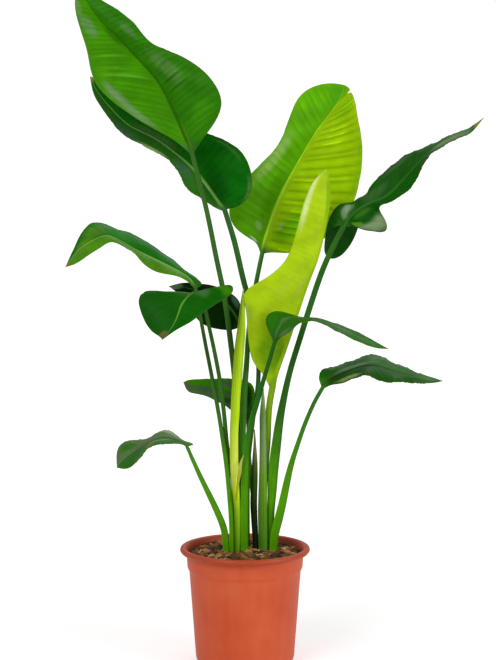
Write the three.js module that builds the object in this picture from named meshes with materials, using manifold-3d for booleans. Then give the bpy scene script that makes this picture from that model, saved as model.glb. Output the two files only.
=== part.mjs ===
// A bird of paradise plant in its nursery pot: twelve open leaves and one rolled leaf
// on long stalks, two old leaf sheaths, a root ball of potting mix and a plastic pot.
// Millimetres, +Z up, origin at the middle of the pot's underside, front towards -Y.
import * as THREE from 'three';
import { mergeVertices } from 'three/addons/utils/BufferGeometryUtils.js';
import Module from 'manifold-3d';

const wasm = await Module();
wasm.setup();

// Pot
const POT_HEIGHT = 190;
const LIP_RADIUS = 106.5;
const LIP_DROP = 9;
const LIP_BEAD = 3.2;
const COLLAR_TOP_RADIUS = 96;
const COLLAR_BOTTOM_RADIUS = 94.5;
const COLLAR_BOTTOM_Z = 157;
const SHOULDER_RADIUS = 92;
const SHOULDER_Z = 152.5;
const HEEL_RADIUS = 80.5;
const HEEL_Z = 9;
const FOOT_RADIUS = 76;
const POT_WALL = 2.2;
const POT_FLOOR = 3;
const POT_SIDES = 48;
const DRAIN_HOLES = 6;
const DRAIN_RADIUS = 5;
const DRAIN_CIRCLE = 52;

// Root ball
const SOIL_TOP_Z = 179;
const SOIL_MOUND = 4;
const SOIL_CLEARANCE = 0.4;
const SOIL_RELIEF = 2;
const SOIL_RINGS = 7;
const POCKET_FLOOR_Z = 142;
const STEM_CLEARANCE = 0.4;

// Leaves
const BLADE_THICKNESS = 0.9;
const TIP_HALF_WIDTH = 0.8;
const RIB_END_DEPTH = 0.4;

// Viewing spot of the outlines: each control point of a leaf or stalk is [across, up, back].
// Across and up lie on a plane that faces the eye and passes the pot's axis, and back says
// how far behind (+) or in front (-) of the axis the point lies on its line of sight. Up
// counts from PLANE_FOOT above the pot's underside.
const EYE_DISTANCE = 2400;
const EYE_TILT = THREE.MathUtils.degToRad(4.1);
const AIM = new THREE.Vector3(4.9, 0, 546);
const PLANE_FOOT = 10;
const SIGHT_UP = new THREE.Vector3(0, Math.sin(EYE_TILT), Math.cos(EYE_TILT));
const EYE = new THREE.Vector3(0, -Math.cos(EYE_TILT), Math.sin(EYE_TILT))
  .multiplyScalar(EYE_DISTANCE)
  .add(AIM);

const COLOUR = {
  pot: 0xcd5a37,
  soil: 0x5a4128,
  deep: 0x2a6410,
  mid: 0x3c8200,
  fresh: 0x82aa00,
  lime: 0xa5cd05,
  oldSheath: 0x789b55,
  drySheath: 0x5a5a28,
};

// Each leaf: its stalk from the foot [x, y, width, thickness] in the soil upwards, with
// [across, up, back, width, thickness] at each point, then the blade's left margin, rib
// and right margin, row by row from the stalk to the tip. Left and right are as seen with
// the tip up and the shown face in front. crown bulges the two halves towards that face.
const LEAVES = {
  leaf_top_left: {
    colour: COLOUR.mid,
    panels: 3,
    steps: 2,
    crown: 0.05,
    foot: [-16, 13, 9, 9],
    stalk: [
      [-16, 280, 12, 8.6, 8.4],
      [-14.4, 380, 10, 8.6, 8],
      [-15.6, 440, 8, 8.8, 8],
      [-18.2, 471, 6.5, 9, 8.2],
      [-23.8, 520, 4, 9.2, 8.2],
      [-32.5, 585, 0, 8.8, 8],
      [-46.6, 653, -4, 8.2, 7.6],
      [-62.5, 731, -8, 8, 7.4],
      [-86, 824, -12, 7.6, 6.8],
    ],
    left: [
      [-112, 843, -16],
      [-154, 866, -22],
      [-192, 890, -27],
      [-234, 925, -24],
      [-249, 951, -16],
      [-257, 991, -5],
      [-273, 1042, 10],
      [-277, 1072, 24],
    ],
    rib: [
      [-93, 838, -12],
      [-104, 864, -8],
      [-122, 905, -2],
      [-146, 947, 4],
      [-177, 980, 10],
      [-211, 1016, 17],
      [-239, 1043, 24],
      [-262, 1080, 31],
    ],
    right: [
      [-70, 845, -16],
      [-47, 876, -25],
      [-37, 908, -29],
      [-60, 951, -24],
      [-104, 982, -14],
      [-154, 1003, 0],
      [-184, 1040, 14],
      [-224, 1067, 27],
    ],
    tip: [-270, 1093, 35],
  },
  leaf_top_left_rear: {
    colour: COLOUR.deep,
    panels: 3,
    steps: 2,
    crown: 0.06,
    foot: [4, 13, 8.2, 9],
    stalk: [
      [4, 250, 13, 7.6, 8],
      [4.5, 300, 13, 7.5, 7.8],
      [6.5, 335, 13.4, 7.4, 7.6],
      [11, 372, 14.4, 7.2, 7.4],
      [16, 412, 15.5, 7.2, 7.2],
      [21.4, 450, 17, 7.4, 7.4],
      [21, 500, 20, 8, 8],
      [12.5, 560, 23, 9, 8.6],
      [-2.6, 617, 25, 9.4, 8.6],
      [-17.8, 682, 26, 9.2, 8.4],
      [-33, 731, 27, 8.4, 7.8],
    ],
    left: [
      [-47, 733, 23],
      [-68, 748, 20],
      [-94, 764, 18],
      [-104, 783, 18],
      [-122, 811, 19],
      [-154, 829, 22],
      [-200, 855, 27],
      [-226, 887, 34],
      [-247, 920, 41],
    ],
    rib: [
      [-44, 746, 29],
      [-57, 764, 33],
      [-71, 783, 36],
      [-89, 803, 38],
      [-112, 822, 40],
      [-146, 847, 42],
      [-190, 869, 44],
      [-219, 897, 45],
      [-242, 926, 45],
    ],
    right: [
      [-8, 737, 20],
      [10, 757, 16],
      [11, 790, 18],
      [-3, 824, 24],
      [-37, 847, 30],
      [-89, 865, 35],
      [-146, 897, 40],
      [-190, 923, 43],
      [-229, 942, 45],
    ],
    tip: [-252, 948, 46],
  },
  leaf_top_centre: {
    colour: COLOUR.fresh,
    panels: 3,
    steps: 2,
    crown: 0.04,
    ribInFront: true,
    foot: [-4, 0, 9, 9],
    stalk: [
      [-4, 260, 0, 9, 9],
      [-4, 357, 2, 10, 9],
      [-2, 410, 6, 10.4, 9],
      [-0.2, 447, 12, 10, 8.6],
      [2.6, 480, 18, 9, 8.2],
      [4.4, 512, 24, 8.4, 8],
      [7, 544, 34, 8, 7.6],
      [13, 585, 46, 7.8, 7.4],
      [20.5, 625, 56, 7.6, 7.2],
      [28, 661, 64, 7.6, 7],
    ],
    left: [
      [21, 676, 65],
      [8, 684, 62],
      [-18, 704, 58],
      [-26, 733, 56],
      [-5, 774, 56],
      [28, 808, 56],
      [57, 842, 56],
      [73, 884, 57],
      [91, 920, 61],
      [122, 936, 66],
      [145, 938, 70],
    ],
    rib: [
      [29, 668, 66],
      [32, 681, 69],
      [38, 700, 72],
      [50, 736, 77],
      [65, 770, 80],
      [83, 803, 82],
      [101, 834, 82],
      [120, 864, 80],
      [140, 890, 77],
      [156, 913, 73],
      [159, 923, 72.5],
    ],
    right: [
      [40, 663, 68],
      [72, 660, 74],
      [109, 669, 80],
      [146, 702, 86],
      [174, 738, 88],
      [188, 788, 86],
      [191, 832, 83],
      [184, 878, 79],
      [177, 915, 76],
      [172, 923, 73],
      [170, 930, 72.5],
    ],
    tip: [162, 934, 72],
  },
  leaf_unfurling: {
    colour: COLOUR.lime,
    panels: 3,
    steps: 1,
    crown: 0.1,
    ribInFront: true,
    foot: [31, 5, 8, 8],
    stalk: [
      [31, 240, 5, 8, 8],
      [33.5, 310, 6, 9.4, 8],
      [36.8, 357, 7, 10.4, 8],
      [38.2, 398, 8, 10.4, 8],
      [40.7, 422, 9, 10.4, 8],
      [44.5, 443, 10, 10.8, 8],
    ],
    left: [
      [29, 465, 2],
      [13, 483, -6],
      [5, 523, -13],
      [2, 566, -18],
      [-2, 598, -20],
      [34, 620, -14],
      [63, 645, -8],
      [76, 671, -3],
      [86, 708, 1],
      [97, 747, 5],
      [112, 780, 11],
    ],
    rib: [
      [50, 465, 10],
      [58, 487, 10],
      [73, 528, 9],
      [88, 572, 8],
      [99, 604, 8],
      [109, 630, 9],
      [117, 650, 10],
      [125, 680, 12],
      [133, 716, 14],
      [138, 752, 16],
      [136, 784, 18],
    ],
    right: [
      [53, 466, 15],
      [55, 489, 28],
      [54, 530, 40],
      [63, 574, 46],
      [75, 608, 48],
      [87, 634, 47],
      [97, 656, 45],
      [108, 690, 43],
      [119, 728, 40],
      [130, 760, 36],
      [136, 786, 29],
    ],
    tip: [132, 799, 20],
  },
  leaf_top_right: {
    colour: COLOUR.deep,
    panels: 3,
    steps: 2,
    foot: [41.5, 2.6, 11.5, 11],
    stalk: [
      [42, 240, 2, 12, 11],
      [44.2, 276, 1, 15.2, 11],
      [46.2, 310, 0, 16.8, 11],
      [50.4, 345, 0.6, 16, 11],
      [55.6, 385, 2.4, 13.8, 10.8],
      [62.4, 422, 4, 11, 10.4],
      [73.6, 471, 6, 9.6, 9.6],
      [88.7, 520, 9.5, 9.6, 9.6],
      [105, 572, 13, 9.6, 9.6],
      [127, 636, 18, 9.4, 9.4],
      [145.4, 676, 21, 9, 9],
      [160, 704, 23, 8.4, 8.4],
    ],
    left: [
      [145, 706, 38],
      [133, 690, 47],
      [127, 657, 54],
      [146, 649, 60],
      [169, 670, 64],
      [184, 700, 64],
      [190, 731, 56],
      [198, 762, 42],
      [229, 795, 34],
      [255, 817, 30],
      [291, 833, 26],
      [333, 852, 18],
      [366, 866, 2],
    ],
    leftFold: [
      [155, 713, 31],
      [145, 720, 37],
      [140, 726, 42],
      [148, 733, 46],
      [159, 737, 48],
      [174, 741, 46],
      [185, 751, 40],
      [201, 757, 30],
      [226, 775, 23],
      [254, 801, 18],
      [291, 828, 12],
      [333, 850, 5],
      [366, 864, -6],
    ],
    rib: [
      [163, 712, 24],
      [166, 715, 24],
      [169, 718, 24],
      [173, 722, 23],
      [178, 726, 22],
      [184, 730, 20],
      [192, 736, 17],
      [205, 743, 14],
      [228, 752, 8],
      [257, 780, 2],
      [291, 817, -4],
      [333, 845, -10],
      [366, 861, -14],
    ],
    rightFold: [
      [167, 709, 22],
      [173, 708, 19],
      [177, 706, 16],
      [185, 708, 13],
      [193, 715, 10],
      [201, 722, 9],
      [207, 731, 9],
      [212, 740, 6],
      [235, 748, 0],
      [265, 775, -8],
      [294, 817, -16],
      [335, 843, -22],
      [368, 859, -20],
    ],
    right: [
      [171, 706, 20],
      [183, 702, 17],
      [198, 697, 13],
      [216, 694, 9],
      [230, 696, 7],
      [231, 708, 6],
      [223, 724, 7],
      [217, 736, 0],
      [242, 746, -8],
      [275, 773, -18],
      [298, 818, -30],
      [337, 842, -34],
      [369, 858, -26],
    ],
    tip: [388, 881, -18],
  },
  leaf_mid_left_long: {
    colour: COLOUR.mid,
    panels: 2,
    steps: 1,
    crown: 0.08,
    foot: [-21.5, -13, 7.5, 9],
    stalk: [
      [-22.4, 228, -13, 7.8, 8.6],
      [-24.6, 260, -13, 8, 8.4],
      [-28.2, 300, -12.5, 7.8, 8.2],
      [-31, 325, -12.5, 8.2, 8],
      [-34.6, 349, -13, 7.6, 7.4],
      [-42.4, 398, -13, 6.8, 6.6],
      [-56, 471, -13, 6.4, 6.2],
      [-65.6, 520, -12, 6.2, 6],
      [-75, 572, -9, 5.8, 5.8],
      [-80, 604, -4, 5.6, 5.6],
    ],
    left: [
      [-94, 616, -8],
      [-114, 624, -14],
      [-138, 629, -20],
      [-161, 639, -24],
      [-179, 660, -26],
      [-197, 671, -30],
      [-216, 680, -36],
      [-234, 670, -42],
      [-255, 657, -47],
      [-275, 643, -50],
    ],
    rib: [
      [-89, 619, 0],
      [-109, 632, 0],
      [-135, 645, -2],
      [-158, 656, -5],
      [-180, 667, -9],
      [-201, 680, -15],
      [-224, 690, -24],
      [-244, 683, -34],
      [-265, 671, -42],
      [-280, 655, -47],
    ],
    right: [
      [-68, 610, 8],
      [-89, 627, 16],
      [-119, 652, 22],
      [-151, 674, 24],
      [-185, 693, 20],
      [-214, 703, 10],
      [-242, 712, -6],
      [-258, 704, -22],
      [-274, 678, -34],
      [-284, 656, -43],
    ],
    tip: [-292, 638, -48],
  },
  leaf_mid_left_front: {
    colour: COLOUR.deep,
    panels: 3,
    steps: 1,
    crown: -0.06,
    ribInFront: true,
    foot: [-16.5, -1, 8.5, 8.5],
    stalk: [
      [-19, 290, -2, 7.8, 8],
      [-25.5, 325, -4, 7.2, 7.4],
      [-29.2, 349, -5, 7, 7],
      [-33.8, 398, -11, 7, 6.8],
      [-41, 455, -20, 6.8, 6.6],
      [-48.6, 496, -26, 6.6, 6.4],
      [-59, 544, -32, 6.2, 6],
      [-69, 584, -39, 5.6, 5.6],
      [-77, 594, -45, 5.4, 5.4],
      [-83, 597, -53, 5.2, 5.2],
    ],
    left: [
      [-104, 598, -56],
      [-130, 599, -54],
      [-162, 600, -50],
      [-172, 589, -56],
      [-171, 571, -67],
      [-162, 548, -80],
      [-151, 533, -91],
      [-140, 526, -99],
    ],
    rib: [
      [-87, 594, -59],
      [-92, 590, -64],
      [-97, 585, -69],
      [-102, 578, -75],
      [-106, 569, -82],
      [-110, 557, -90],
      [-117, 543, -97],
      [-125, 532, -101],
    ],
    right: [
      [-72, 600, -56],
      [-46, 606, -52],
      [-20, 609, -45],
      [-20, 596, -54],
      [-40, 583, -68],
      [-64, 567, -80],
      [-88, 549, -91],
      [-112, 536, -99],
    ],
    tip: [-134, 520, -105],
  },
  leaf_mid_left_rear: {
    colour: COLOUR.deep,
    panels: 2,
    steps: 1,
    crown: 0.06,
    foot: [-5.5, 13, 8, 9],
    stalk: [
      [-7, 300, 14, 7.4, 8],
      [-8, 400, 17, 7, 7],
      [-8, 470, 20, 6.6, 6.6],
      [-7, 540, 24, 6.2, 6.2],
    ],
    left: [
      [-20, 536, 23],
      [-49, 538, 18],
      [-73, 548, 16],
      [-89, 572, 18],
      [-102, 590, 21],
      [-112, 598, 24],
    ],
    rib: [
      [-12, 553, 27],
      [-22, 569, 29],
      [-36, 584, 30],
      [-57, 595, 30],
      [-81, 601, 29],
      [-104, 606, 28],
    ],
    right: [
      [-7, 566, 30],
      [-9, 583, 33],
      [-22, 595, 35],
      [-50, 608, 34],
      [-78, 612, 32],
      [-102, 613, 30],
    ],
    tip: [-124, 607, 28],
  },
  leaf_mid_right: {
    colour: COLOUR.deep,
    panels: 2,
    steps: 1,
    crown: 0.05,
    foot: [-0.9, -13, 12.8, 9],
    stalk: [
      [-0.7, 260, -14, 13, 9],
      [0.4, 300, -15, 12, 8.8],
      [2, 325, -16, 10, 8.6],
      [2.8, 345, -17, 9.4, 8.4],
      [7.4, 374, -19.5, 9.4, 8.4],
      [13.2, 398, -23, 9.4, 8.2],
      [20.8, 422, -26, 8.6, 8],
      [27.6, 446, -31, 7.6, 7.4],
      [32.2, 462, -34.5, 7, 7],
      [42.2, 495, -42, 6.8, 6.6],
      [48.6, 518, -48, 6.6, 6.4],
    ],
    left: [
      [35.6, 541, -42],
      [33.4, 556, -36],
      [43, 565.5, -32],
      [62, 566, -28],
      [86, 556, -26],
      [115, 555, -28],
      [143, 548, -34],
      [174, 537, -44],
      [203, 522, -58],
    ],
    rib: [
      [51, 530, -54],
      [57, 543, -58],
      [65, 554, -62],
      [76, 557, -65],
      [96, 554, -68],
      [122, 551, -70],
      [151, 541, -71],
      [180, 528, -72],
      [206, 514, -72],
    ],
    right: [
      [57, 523, -66],
      [70, 530, -78],
      [80, 539, -88],
      [91, 548, -96],
      [109, 551, -102],
      [128, 545, -104],
      [154, 531, -102],
      [182, 518, -96],
      [210, 507, -86],
    ],
    tip: [234, 505, -73],
  },
  leaf_low_right: {
    colour: COLOUR.mid,
    panels: 2,
    steps: 1,
    crown: 0.06,
    foot: [46.5, -8.4, 13, 8],
    stalk: [
      [48.5, 205, -8.4, 13.6, 8],
      [54.4, 228, -8, 14.4, 8.6],
      [60.3, 252, -7, 13.2, 9.2],
      [65.4, 276, -5, 12.2, 9.6],
      [70.8, 301, -4, 10.8, 9.4],
      [77.2, 325, -2, 8.8, 8.8],
      [85.3, 349, 0, 7.8, 7.8],
      [93.8, 374, 2, 7.2, 7.2],
      [103.4, 398, 5, 7, 7],
      [114.4, 422, 7, 6.8, 6.8],
      [126.6, 443, 9, 6.6, 6.6],
    ],
    left: [
      [119, 460, 18],
      [128, 473, 28],
      [154, 479, 38],
      [182, 490, 44],
      [206, 497, 46],
      [231, 488, 44],
      [257, 478, 38],
      [284, 465, 26],
      [304, 459, 14],
    ],
    rib: [
      [135, 453, 8],
      [151, 462, 6],
      [172, 471, 3],
      [193, 477, 0],
      [214, 478, -3],
      [237, 471, -6],
      [260, 465, -8],
      [286, 458, -8],
      [305, 455, -7],
    ],
    right: [
      [140, 447, 0],
      [159, 449, -12],
      [180, 458, -24],
      [198, 463, -34],
      [218, 453, -40],
      [239, 450, -42],
      [265, 451, -38],
      [289, 449, -29],
      [307, 450, -18],
    ],
    tip: [322, 453, -6],
  },
  leaf_low_left: {
    colour: COLOUR.mid,
    panels: 2,
    steps: 1,
    crown: 0.05,
    foot: [-30.8, -12, 10.8, 11],
    stalk: [
      [-33.8, 212, -12, 11.2, 10.6],
      [-46.6, 244, -13, 10.4, 10],
      [-62, 276, -15, 8.8, 9],
      [-76.8, 307, -17, 7.4, 7.6],
      [-94, 346, -20, 5.6, 5.6],
    ],
    left: [
      [-97, 348, -26],
      [-111, 351, -34],
      [-126, 351, -42],
      [-142, 349, -50],
      [-156, 345, -55],
      [-166, 332, -56],
      [-180, 317, -54],
      [-193, 310, -46],
    ],
    rib: [
      [-99, 352, -20],
      [-112, 357, -20],
      [-127, 361, -20],
      [-142, 359, -22],
      [-157, 352, -24],
      [-171, 343, -27],
      [-187, 332, -31],
      [-201, 321, -35],
    ],
    right: [
      [-80, 350, -14],
      [-103, 358, -4],
      [-119, 371, 6],
      [-135, 375, 12],
      [-154, 361, 14],
      [-174, 357, 10],
      [-197, 355, 0],
      [-208, 340, -16],
    ],
    tip: [-208, 312, -37],
  },
  leaf_low_rear: {
    colour: COLOUR.mid,
    panels: 2,
    steps: 1,
    crown: 0.06,
    foot: [18, 11, 8.5, 8.5],
    stalk: [
      [16, 236, 14, 8, 8],
      [12, 276, 22, 7.6, 7.6],
      [7, 325, 31, 7, 7],
      [5, 394, 40, 6.4, 6.4],
    ],
    left: [
      [-3, 398, 40],
      [-18, 402, 38],
      [-31, 412, 38],
      [-49, 422, 40],
      [-68, 430, 43],
      [-84, 433, 46],
      [-94, 436, 49],
    ],
    rib: [
      [0, 408, 46],
      [-9, 421, 50],
      [-24, 433, 53],
      [-44, 440, 54],
      [-63, 444, 54],
      [-81, 446, 54],
      [-92, 447, 53],
    ],
    right: [
      [15, 424, 52],
      [13, 447, 60],
      [-5, 455, 66],
      [-31, 457, 68],
      [-55, 457, 66],
      [-78, 456, 62],
      [-93, 455, 57],
    ],
    tip: [-100, 451, 53],
  },
};

// Bare stems without a blade, built of the same kind of sections, foot first, then to a point.
const STEMS = {
  leaf_rolled: {
    colour: COLOUR.lime,
    foot: [-12.5, -13.5, 9.5, 8.5],
    stalk: [
      [-13.2, 250, -14, 10.4, 8.5],
      [-15.4, 280, -14.5, 12, 8.5],
      [-17.2, 305, -15, 13.6, 8.6],
      [-18, 335, -15.5, 14.4, 8.8],
      [-18, 370, -16, 14.8, 9.4],
      [-16.4, 400, -17, 15.8, 9.8],
      [-14.8, 432, -17.5, 16.2, 10],
      [-12.2, 460, -18, 16, 10],
      [-9.8, 495, -18, 15.8, 9.8],
      [-6.8, 524, -17.6, 15.4, 9],
      [-4.9, 548, -17.2, 12, 8.2],
      [-4.1, 570, -16.8, 9.2, 7],
      [-3.4, 590, -16.4, 5, 4.6],
      [-2.4, 603, -16, 1.6, 1.6],
    ],
  },
  sheath_old: {
    colour: COLOUR.oldSheath,
    foot: [29.5, -7.5, 14.6, 8],
    stalk: [
      [28.6, 240, -6, 15.4, 8],
      [29, 280, -5.5, 14, 8],
      [29.4, 325, -4, 12, 8],
      [29.2, 374, -3, 11, 7.5],
      [28.8, 398, -2.5, 10.6, 7],
      [29.2, 418, -2, 7, 5.4],
      [29.6, 440, -1, 2, 2],
    ],
  },
  sheath_dry: {
    colour: COLOUR.drySheath,
    foot: [17.4, -2, 9, 10],
    stalk: [
      [15.2, 228, -1.5, 10.6, 9],
      [14.2, 255, -1, 11.4, 8.6],
      [15.6, 300, 0, 10.6, 7.6],
      [16, 325, 0.5, 8.6, 6.6],
      [16, 349, 1, 4.6, 4.6],
      [15.5, 374, 2, 1.6, 1.6],
    ],
  },
};

// Plan of the two pockets in the soil that the fans of stalks stand in: middle and half sizes.
const POCKETS = [
  { x: -14.2, y: 0, halfWidth: 23, halfDepth: 18.4 },
  { x: 34, y: 1.6, halfWidth: 21.6, halfDepth: 14.6 },
];
const POCKET_CORNER = 4;

function seen([across, up, back]) {
  const onPlane = AIM.clone().addScaledVector(SIGHT_UP, up + PLANE_FOOT - AIM.z);
  onPlane.x = across;
  const reach = (back - EYE.y) / (onPlane.y - EYE.y);
  return EYE.clone().lerp(onPlane, reach);
}

// Points along a smooth curve through the given ones: each of them, and steps - 1 between.
function along(points, steps) {
  const curve = new THREE.CatmullRomCurve3(points, false, 'centripetal');
  const count = (points.length - 1) * steps;
  return Array.from({ length: count + 1 }, (_, i) => curve.getPoint(i / count));
}

function directions(points) {
  return points.map((_, i) => {
    const before = points[Math.max(i - 1, 0)];
    const after = points[Math.min(i + 1, points.length - 1)];
    return after.clone().sub(before).normalize();
  });
}

// The sections of a stalk, foot first. Each has a front and a back row of points that run
// from its left side to its right side.
function stalkSections({ foot, stalk }, columns) {
  const [x, y, footWidth, footThickness] = foot;
  const axis = [
    new THREE.Vector3(x, y, POCKET_FLOOR_Z + STEM_CLEARANCE),
    new THREE.Vector3(x, y, SOIL_TOP_Z + 10),
    ...stalk.map(seen),
  ];
  const sizes = [
    [footWidth, footThickness],
    [footWidth, footThickness],
    ...stalk.map((point) => point.slice(3)),
  ];
  const tangents = directions(axis);
  tangents[0].set(0, 0, 1);
  const side = new THREE.Vector3(1, 0, 0);
  return axis.map((centre, i) => {
    side.addScaledVector(tangents[i], -side.dot(tangents[i])).normalize();
    const front = side.clone().cross(tangents[i]);
    const [width, thickness] = sizes[i];
    const row = (sign) => Array.from({ length: columns }, (_, j) => {
      const angle = Math.PI * (j + 0.5) / columns;
      return centre.clone()
        .addScaledVector(side, -Math.cos(angle) * width / 2)
        .addScaledVector(front, sign * Math.sin(angle) * thickness / 2);
    });
    return { front: row(1), back: row(-1) };
  });
}

// A point of one half of a blade's row, share 0 at the rib and 1 at the margin, on the
// parabola through the rib, the half's middle and the margin.
function acrossHalf(rib, middle, margin, share) {
  return rib.clone().multiplyScalar((1 - share) * (1 - 2 * share))
    .addScaledVector(middle, 4 * share * (1 - share))
    .addScaledVector(margin, share * (2 * share - 1));
}

// The sections of a blade beyond its stalk, in the same form as the stalk's.
function bladeSections(leaf, ribStart) {
  const { panels, steps, crown = 0 } = leaf;
  const base = seen(leaf.stalk.at(-1));
  const tip = seen(leaf.tip);
  const rail = (name) => along([base, ...leaf[name].map(seen), tip], steps).slice(1);
  const rib = rail('rib');
  const left = rail('left');
  const right = rail('right');
  const tangents = directions([base, ...rib]).slice(1);
  const last = rib.length - 1;
  const endSide = left[last - 1].clone().sub(right[last - 1]);
  endSide.addScaledVector(tangents[last], -endSide.dot(tangents[last]))
    .setLength(TIP_HALF_WIDTH);
  left[last].add(endSide);
  right[last].sub(endSide);
  const middles = (name, margin) => {
    const fold = leaf[name] ? rail(name) : [];
    return margin.map((edge, i) => {
      if (leaf[name] && i < last) return fold[i];
      const outward = right[i].clone().sub(left[i]).cross(tangents[i]).normalize();
      const reach = edge.distanceTo(rib[i]);
      return edge.clone().lerp(rib[i], 0.5).addScaledVector(outward, crown * reach);
    });
  };
  const leftFold = middles('leftFold', left);
  const rightFold = middles('rightFold', right);
  const rows = rib.map((centre, i) => {
    const ribHalf = ribStart / 2 * (1 - 0.75 * (i + 1) / rib.length);
    const half = (middle, margin) => {
      const start = Math.min(0.35, ribHalf / margin.distanceTo(centre));
      return Array.from({ length: panels + 1 }, (_, k) => (
        acrossHalf(centre, middle, margin, start + (1 - start) * k / panels)
      ));
    };
    return [
      ...half(leftFold[i], left[i]).reverse(),
      centre,
      ...half(rightFold[i], right[i]),
    ];
  });
  return thicken(rows, leaf, ribStart);
}

// Gives a grid of points its thickness, with the rib standing out on the side it shows on.
function thicken(rows, { panels, ribInFront = false }, ribStart) {
  const lastRow = rows.length - 1;
  const lastColumn = rows[0].length - 1;
  return rows.map((row, i) => {
    const ribDepth = ribStart / 2 * (1 - (i + 1) / (lastRow + 1)) + RIB_END_DEPTH;
    const front = [];
    const back = [];
    row.forEach((point, j) => {
      const alongRow = row[Math.min(j + 1, lastColumn)].clone().sub(row[Math.max(j - 1, 0)]);
      const upLeaf = rows[Math.min(i + 1, lastRow)][j].clone().sub(rows[Math.max(i - 1, 0)][j]);
      const normal = alongRow.cross(upLeaf).normalize();
      const proud = j === panels + 1 ? ribDepth : 0;
      const half = BLADE_THICKNESS / 2;
      front.push(point.clone().addScaledVector(normal, half + (ribInFront ? proud : proud / 4)));
      back.push(point.clone().addScaledVector(normal, -half - (ribInFront ? proud / 4 : proud)));
    });
    return { front, back };
  });
}

// One closed skin over sections of a front and a back row each, split alike on both faces.
function skin(sections) {
  const columns = sections[0].front.length;
  const points = sections.flatMap(({ front, back }) => [...front, ...back]);
  const front = (i, j) => i * 2 * columns + j;
  const back = (i, j) => front(i, j) + columns;
  const faces = [];
  const quad = (a, b, c, d) => faces.push(a, b, c, a, c, d);
  const lastRow = sections.length - 1;
  const lastColumn = columns - 1;
  for (let i = 0; i < lastRow; i += 1) {
    for (let j = 0; j < lastColumn; j += 1) {
      quad(front(i, j), front(i, j + 1), front(i + 1, j + 1), front(i + 1, j));
      faces.push(back(i, j), back(i + 1, j + 1), back(i, j + 1));
      faces.push(back(i, j), back(i + 1, j), back(i + 1, j + 1));
    }
    quad(front(i, 0), front(i + 1, 0), back(i + 1, 0), back(i, 0));
    quad(front(i, lastColumn), back(i, lastColumn), back(i + 1, lastColumn), front(i + 1, lastColumn));
  }
  for (let j = 0; j < lastColumn; j += 1) {
    quad(front(0, j), back(0, j), back(0, j + 1), front(0, j + 1));
    quad(front(lastRow, j), front(lastRow, j + 1), back(lastRow, j + 1), back(lastRow, j));
  }
  const geometry = new THREE.BufferGeometry();
  const positions = points.flatMap((point) => [point.x, point.y, point.z]);
  geometry.setAttribute('position', new THREE.Float32BufferAttribute(positions, 3));
  geometry.setIndex(faces);
  return geometry;
}

function leafGeometry(leaf) {
  const columns = 2 * leaf.panels + 3;
  const stalk = stalkSections(leaf, columns);
  const ribStart = leaf.stalk.at(-1)[3];
  return skin([...stalk, ...bladeSections(leaf, ribStart)]);
}

const STEM_COLUMNS = 5;

function stemGeometry(stem) {
  return skin(stalkSections(stem, STEM_COLUMNS));
}

function turned(profile, sides) {
  const points = profile.map(([radius, z]) => new THREE.Vector2(radius, z));
  return new THREE.LatheGeometry(points, sides).rotateX(Math.PI / 2);
}

function toSolid(geometry) {
  const bare = geometry.clone();
  bare.deleteAttribute('normal');
  bare.deleteAttribute('uv');
  const merged = mergeVertices(bare, 1e-4);
  return new wasm.Manifold(new wasm.Mesh({
    numProp: 3,
    vertProperties: new Float32Array(merged.attributes.position.array),
    triVerts: new Uint32Array(merged.index.array),
  }));
}

function toGeometry(solid) {
  const mesh = solid.getMesh();
  const geometry = new THREE.BufferGeometry();
  geometry.setAttribute('position', new THREE.Float32BufferAttribute(mesh.vertProperties, 3));
  geometry.setIndex(Array.from(mesh.triVerts));
  return geometry;
}

// The pot's outside from the middle of its underside up to the lip, then its inside back down.
function potGeometry() {
  const inner = (radius) => radius - POT_WALL;
  const profile = [
    [0, 0],
    [FOOT_RADIUS, 0],
    [HEEL_RADIUS - 1, HEEL_Z - 4],
    [HEEL_RADIUS, HEEL_Z],
    [SHOULDER_RADIUS, SHOULDER_Z],
    [COLLAR_BOTTOM_RADIUS, COLLAR_BOTTOM_Z],
    [COLLAR_TOP_RADIUS, POT_HEIGHT - LIP_DROP],
    [LIP_RADIUS - LIP_BEAD, POT_HEIGHT - LIP_DROP - 0.6],
    [LIP_RADIUS - 0.4, POT_HEIGHT - LIP_DROP + LIP_BEAD],
    [LIP_RADIUS, POT_HEIGHT - LIP_BEAD - 1],
    [LIP_RADIUS - 1, POT_HEIGHT - 1.2],
    [LIP_RADIUS - LIP_BEAD, POT_HEIGHT],
    [COLLAR_TOP_RADIUS + 1.5, POT_HEIGHT - 0.6],
    [COLLAR_TOP_RADIUS - 0.6, POT_HEIGHT - 4],
    [inner(COLLAR_TOP_RADIUS), POT_HEIGHT - LIP_DROP],
    [inner(COLLAR_BOTTOM_RADIUS), COLLAR_BOTTOM_Z + 1],
    [inner(SHOULDER_RADIUS), SHOULDER_Z],
    [inner(HEEL_RADIUS), HEEL_Z],
    [FOOT_RADIUS - POT_WALL, POT_FLOOR],
    [0, POT_FLOOR],
  ];
  let solid = toSolid(turned(profile, POT_SIDES));
  for (let i = 0; i < DRAIN_HOLES; i += 1) {
    const angle = 2 * Math.PI * i / DRAIN_HOLES;
    const cutter = new THREE.CylinderGeometry(DRAIN_RADIUS, DRAIN_RADIUS, 4 * POT_FLOOR, 12)
      .rotateX(Math.PI / 2)
      .translate(DRAIN_CIRCLE * Math.cos(angle), DRAIN_CIRCLE * Math.sin(angle), 0);
    solid = solid.subtract(toSolid(cutter));
  }
  return toGeometry(solid);
}

// Height of the loose lumps of bark and peat above the mean surface of the mix.
function lumps(x, y) {
  return SOIL_RELIEF * (0.5 * Math.sin(x / 6.1 + 1.2) * Math.cos(y / 5.3)
    + 0.5 * Math.sin(x / 3.7 - y / 4.9));
}

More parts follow.
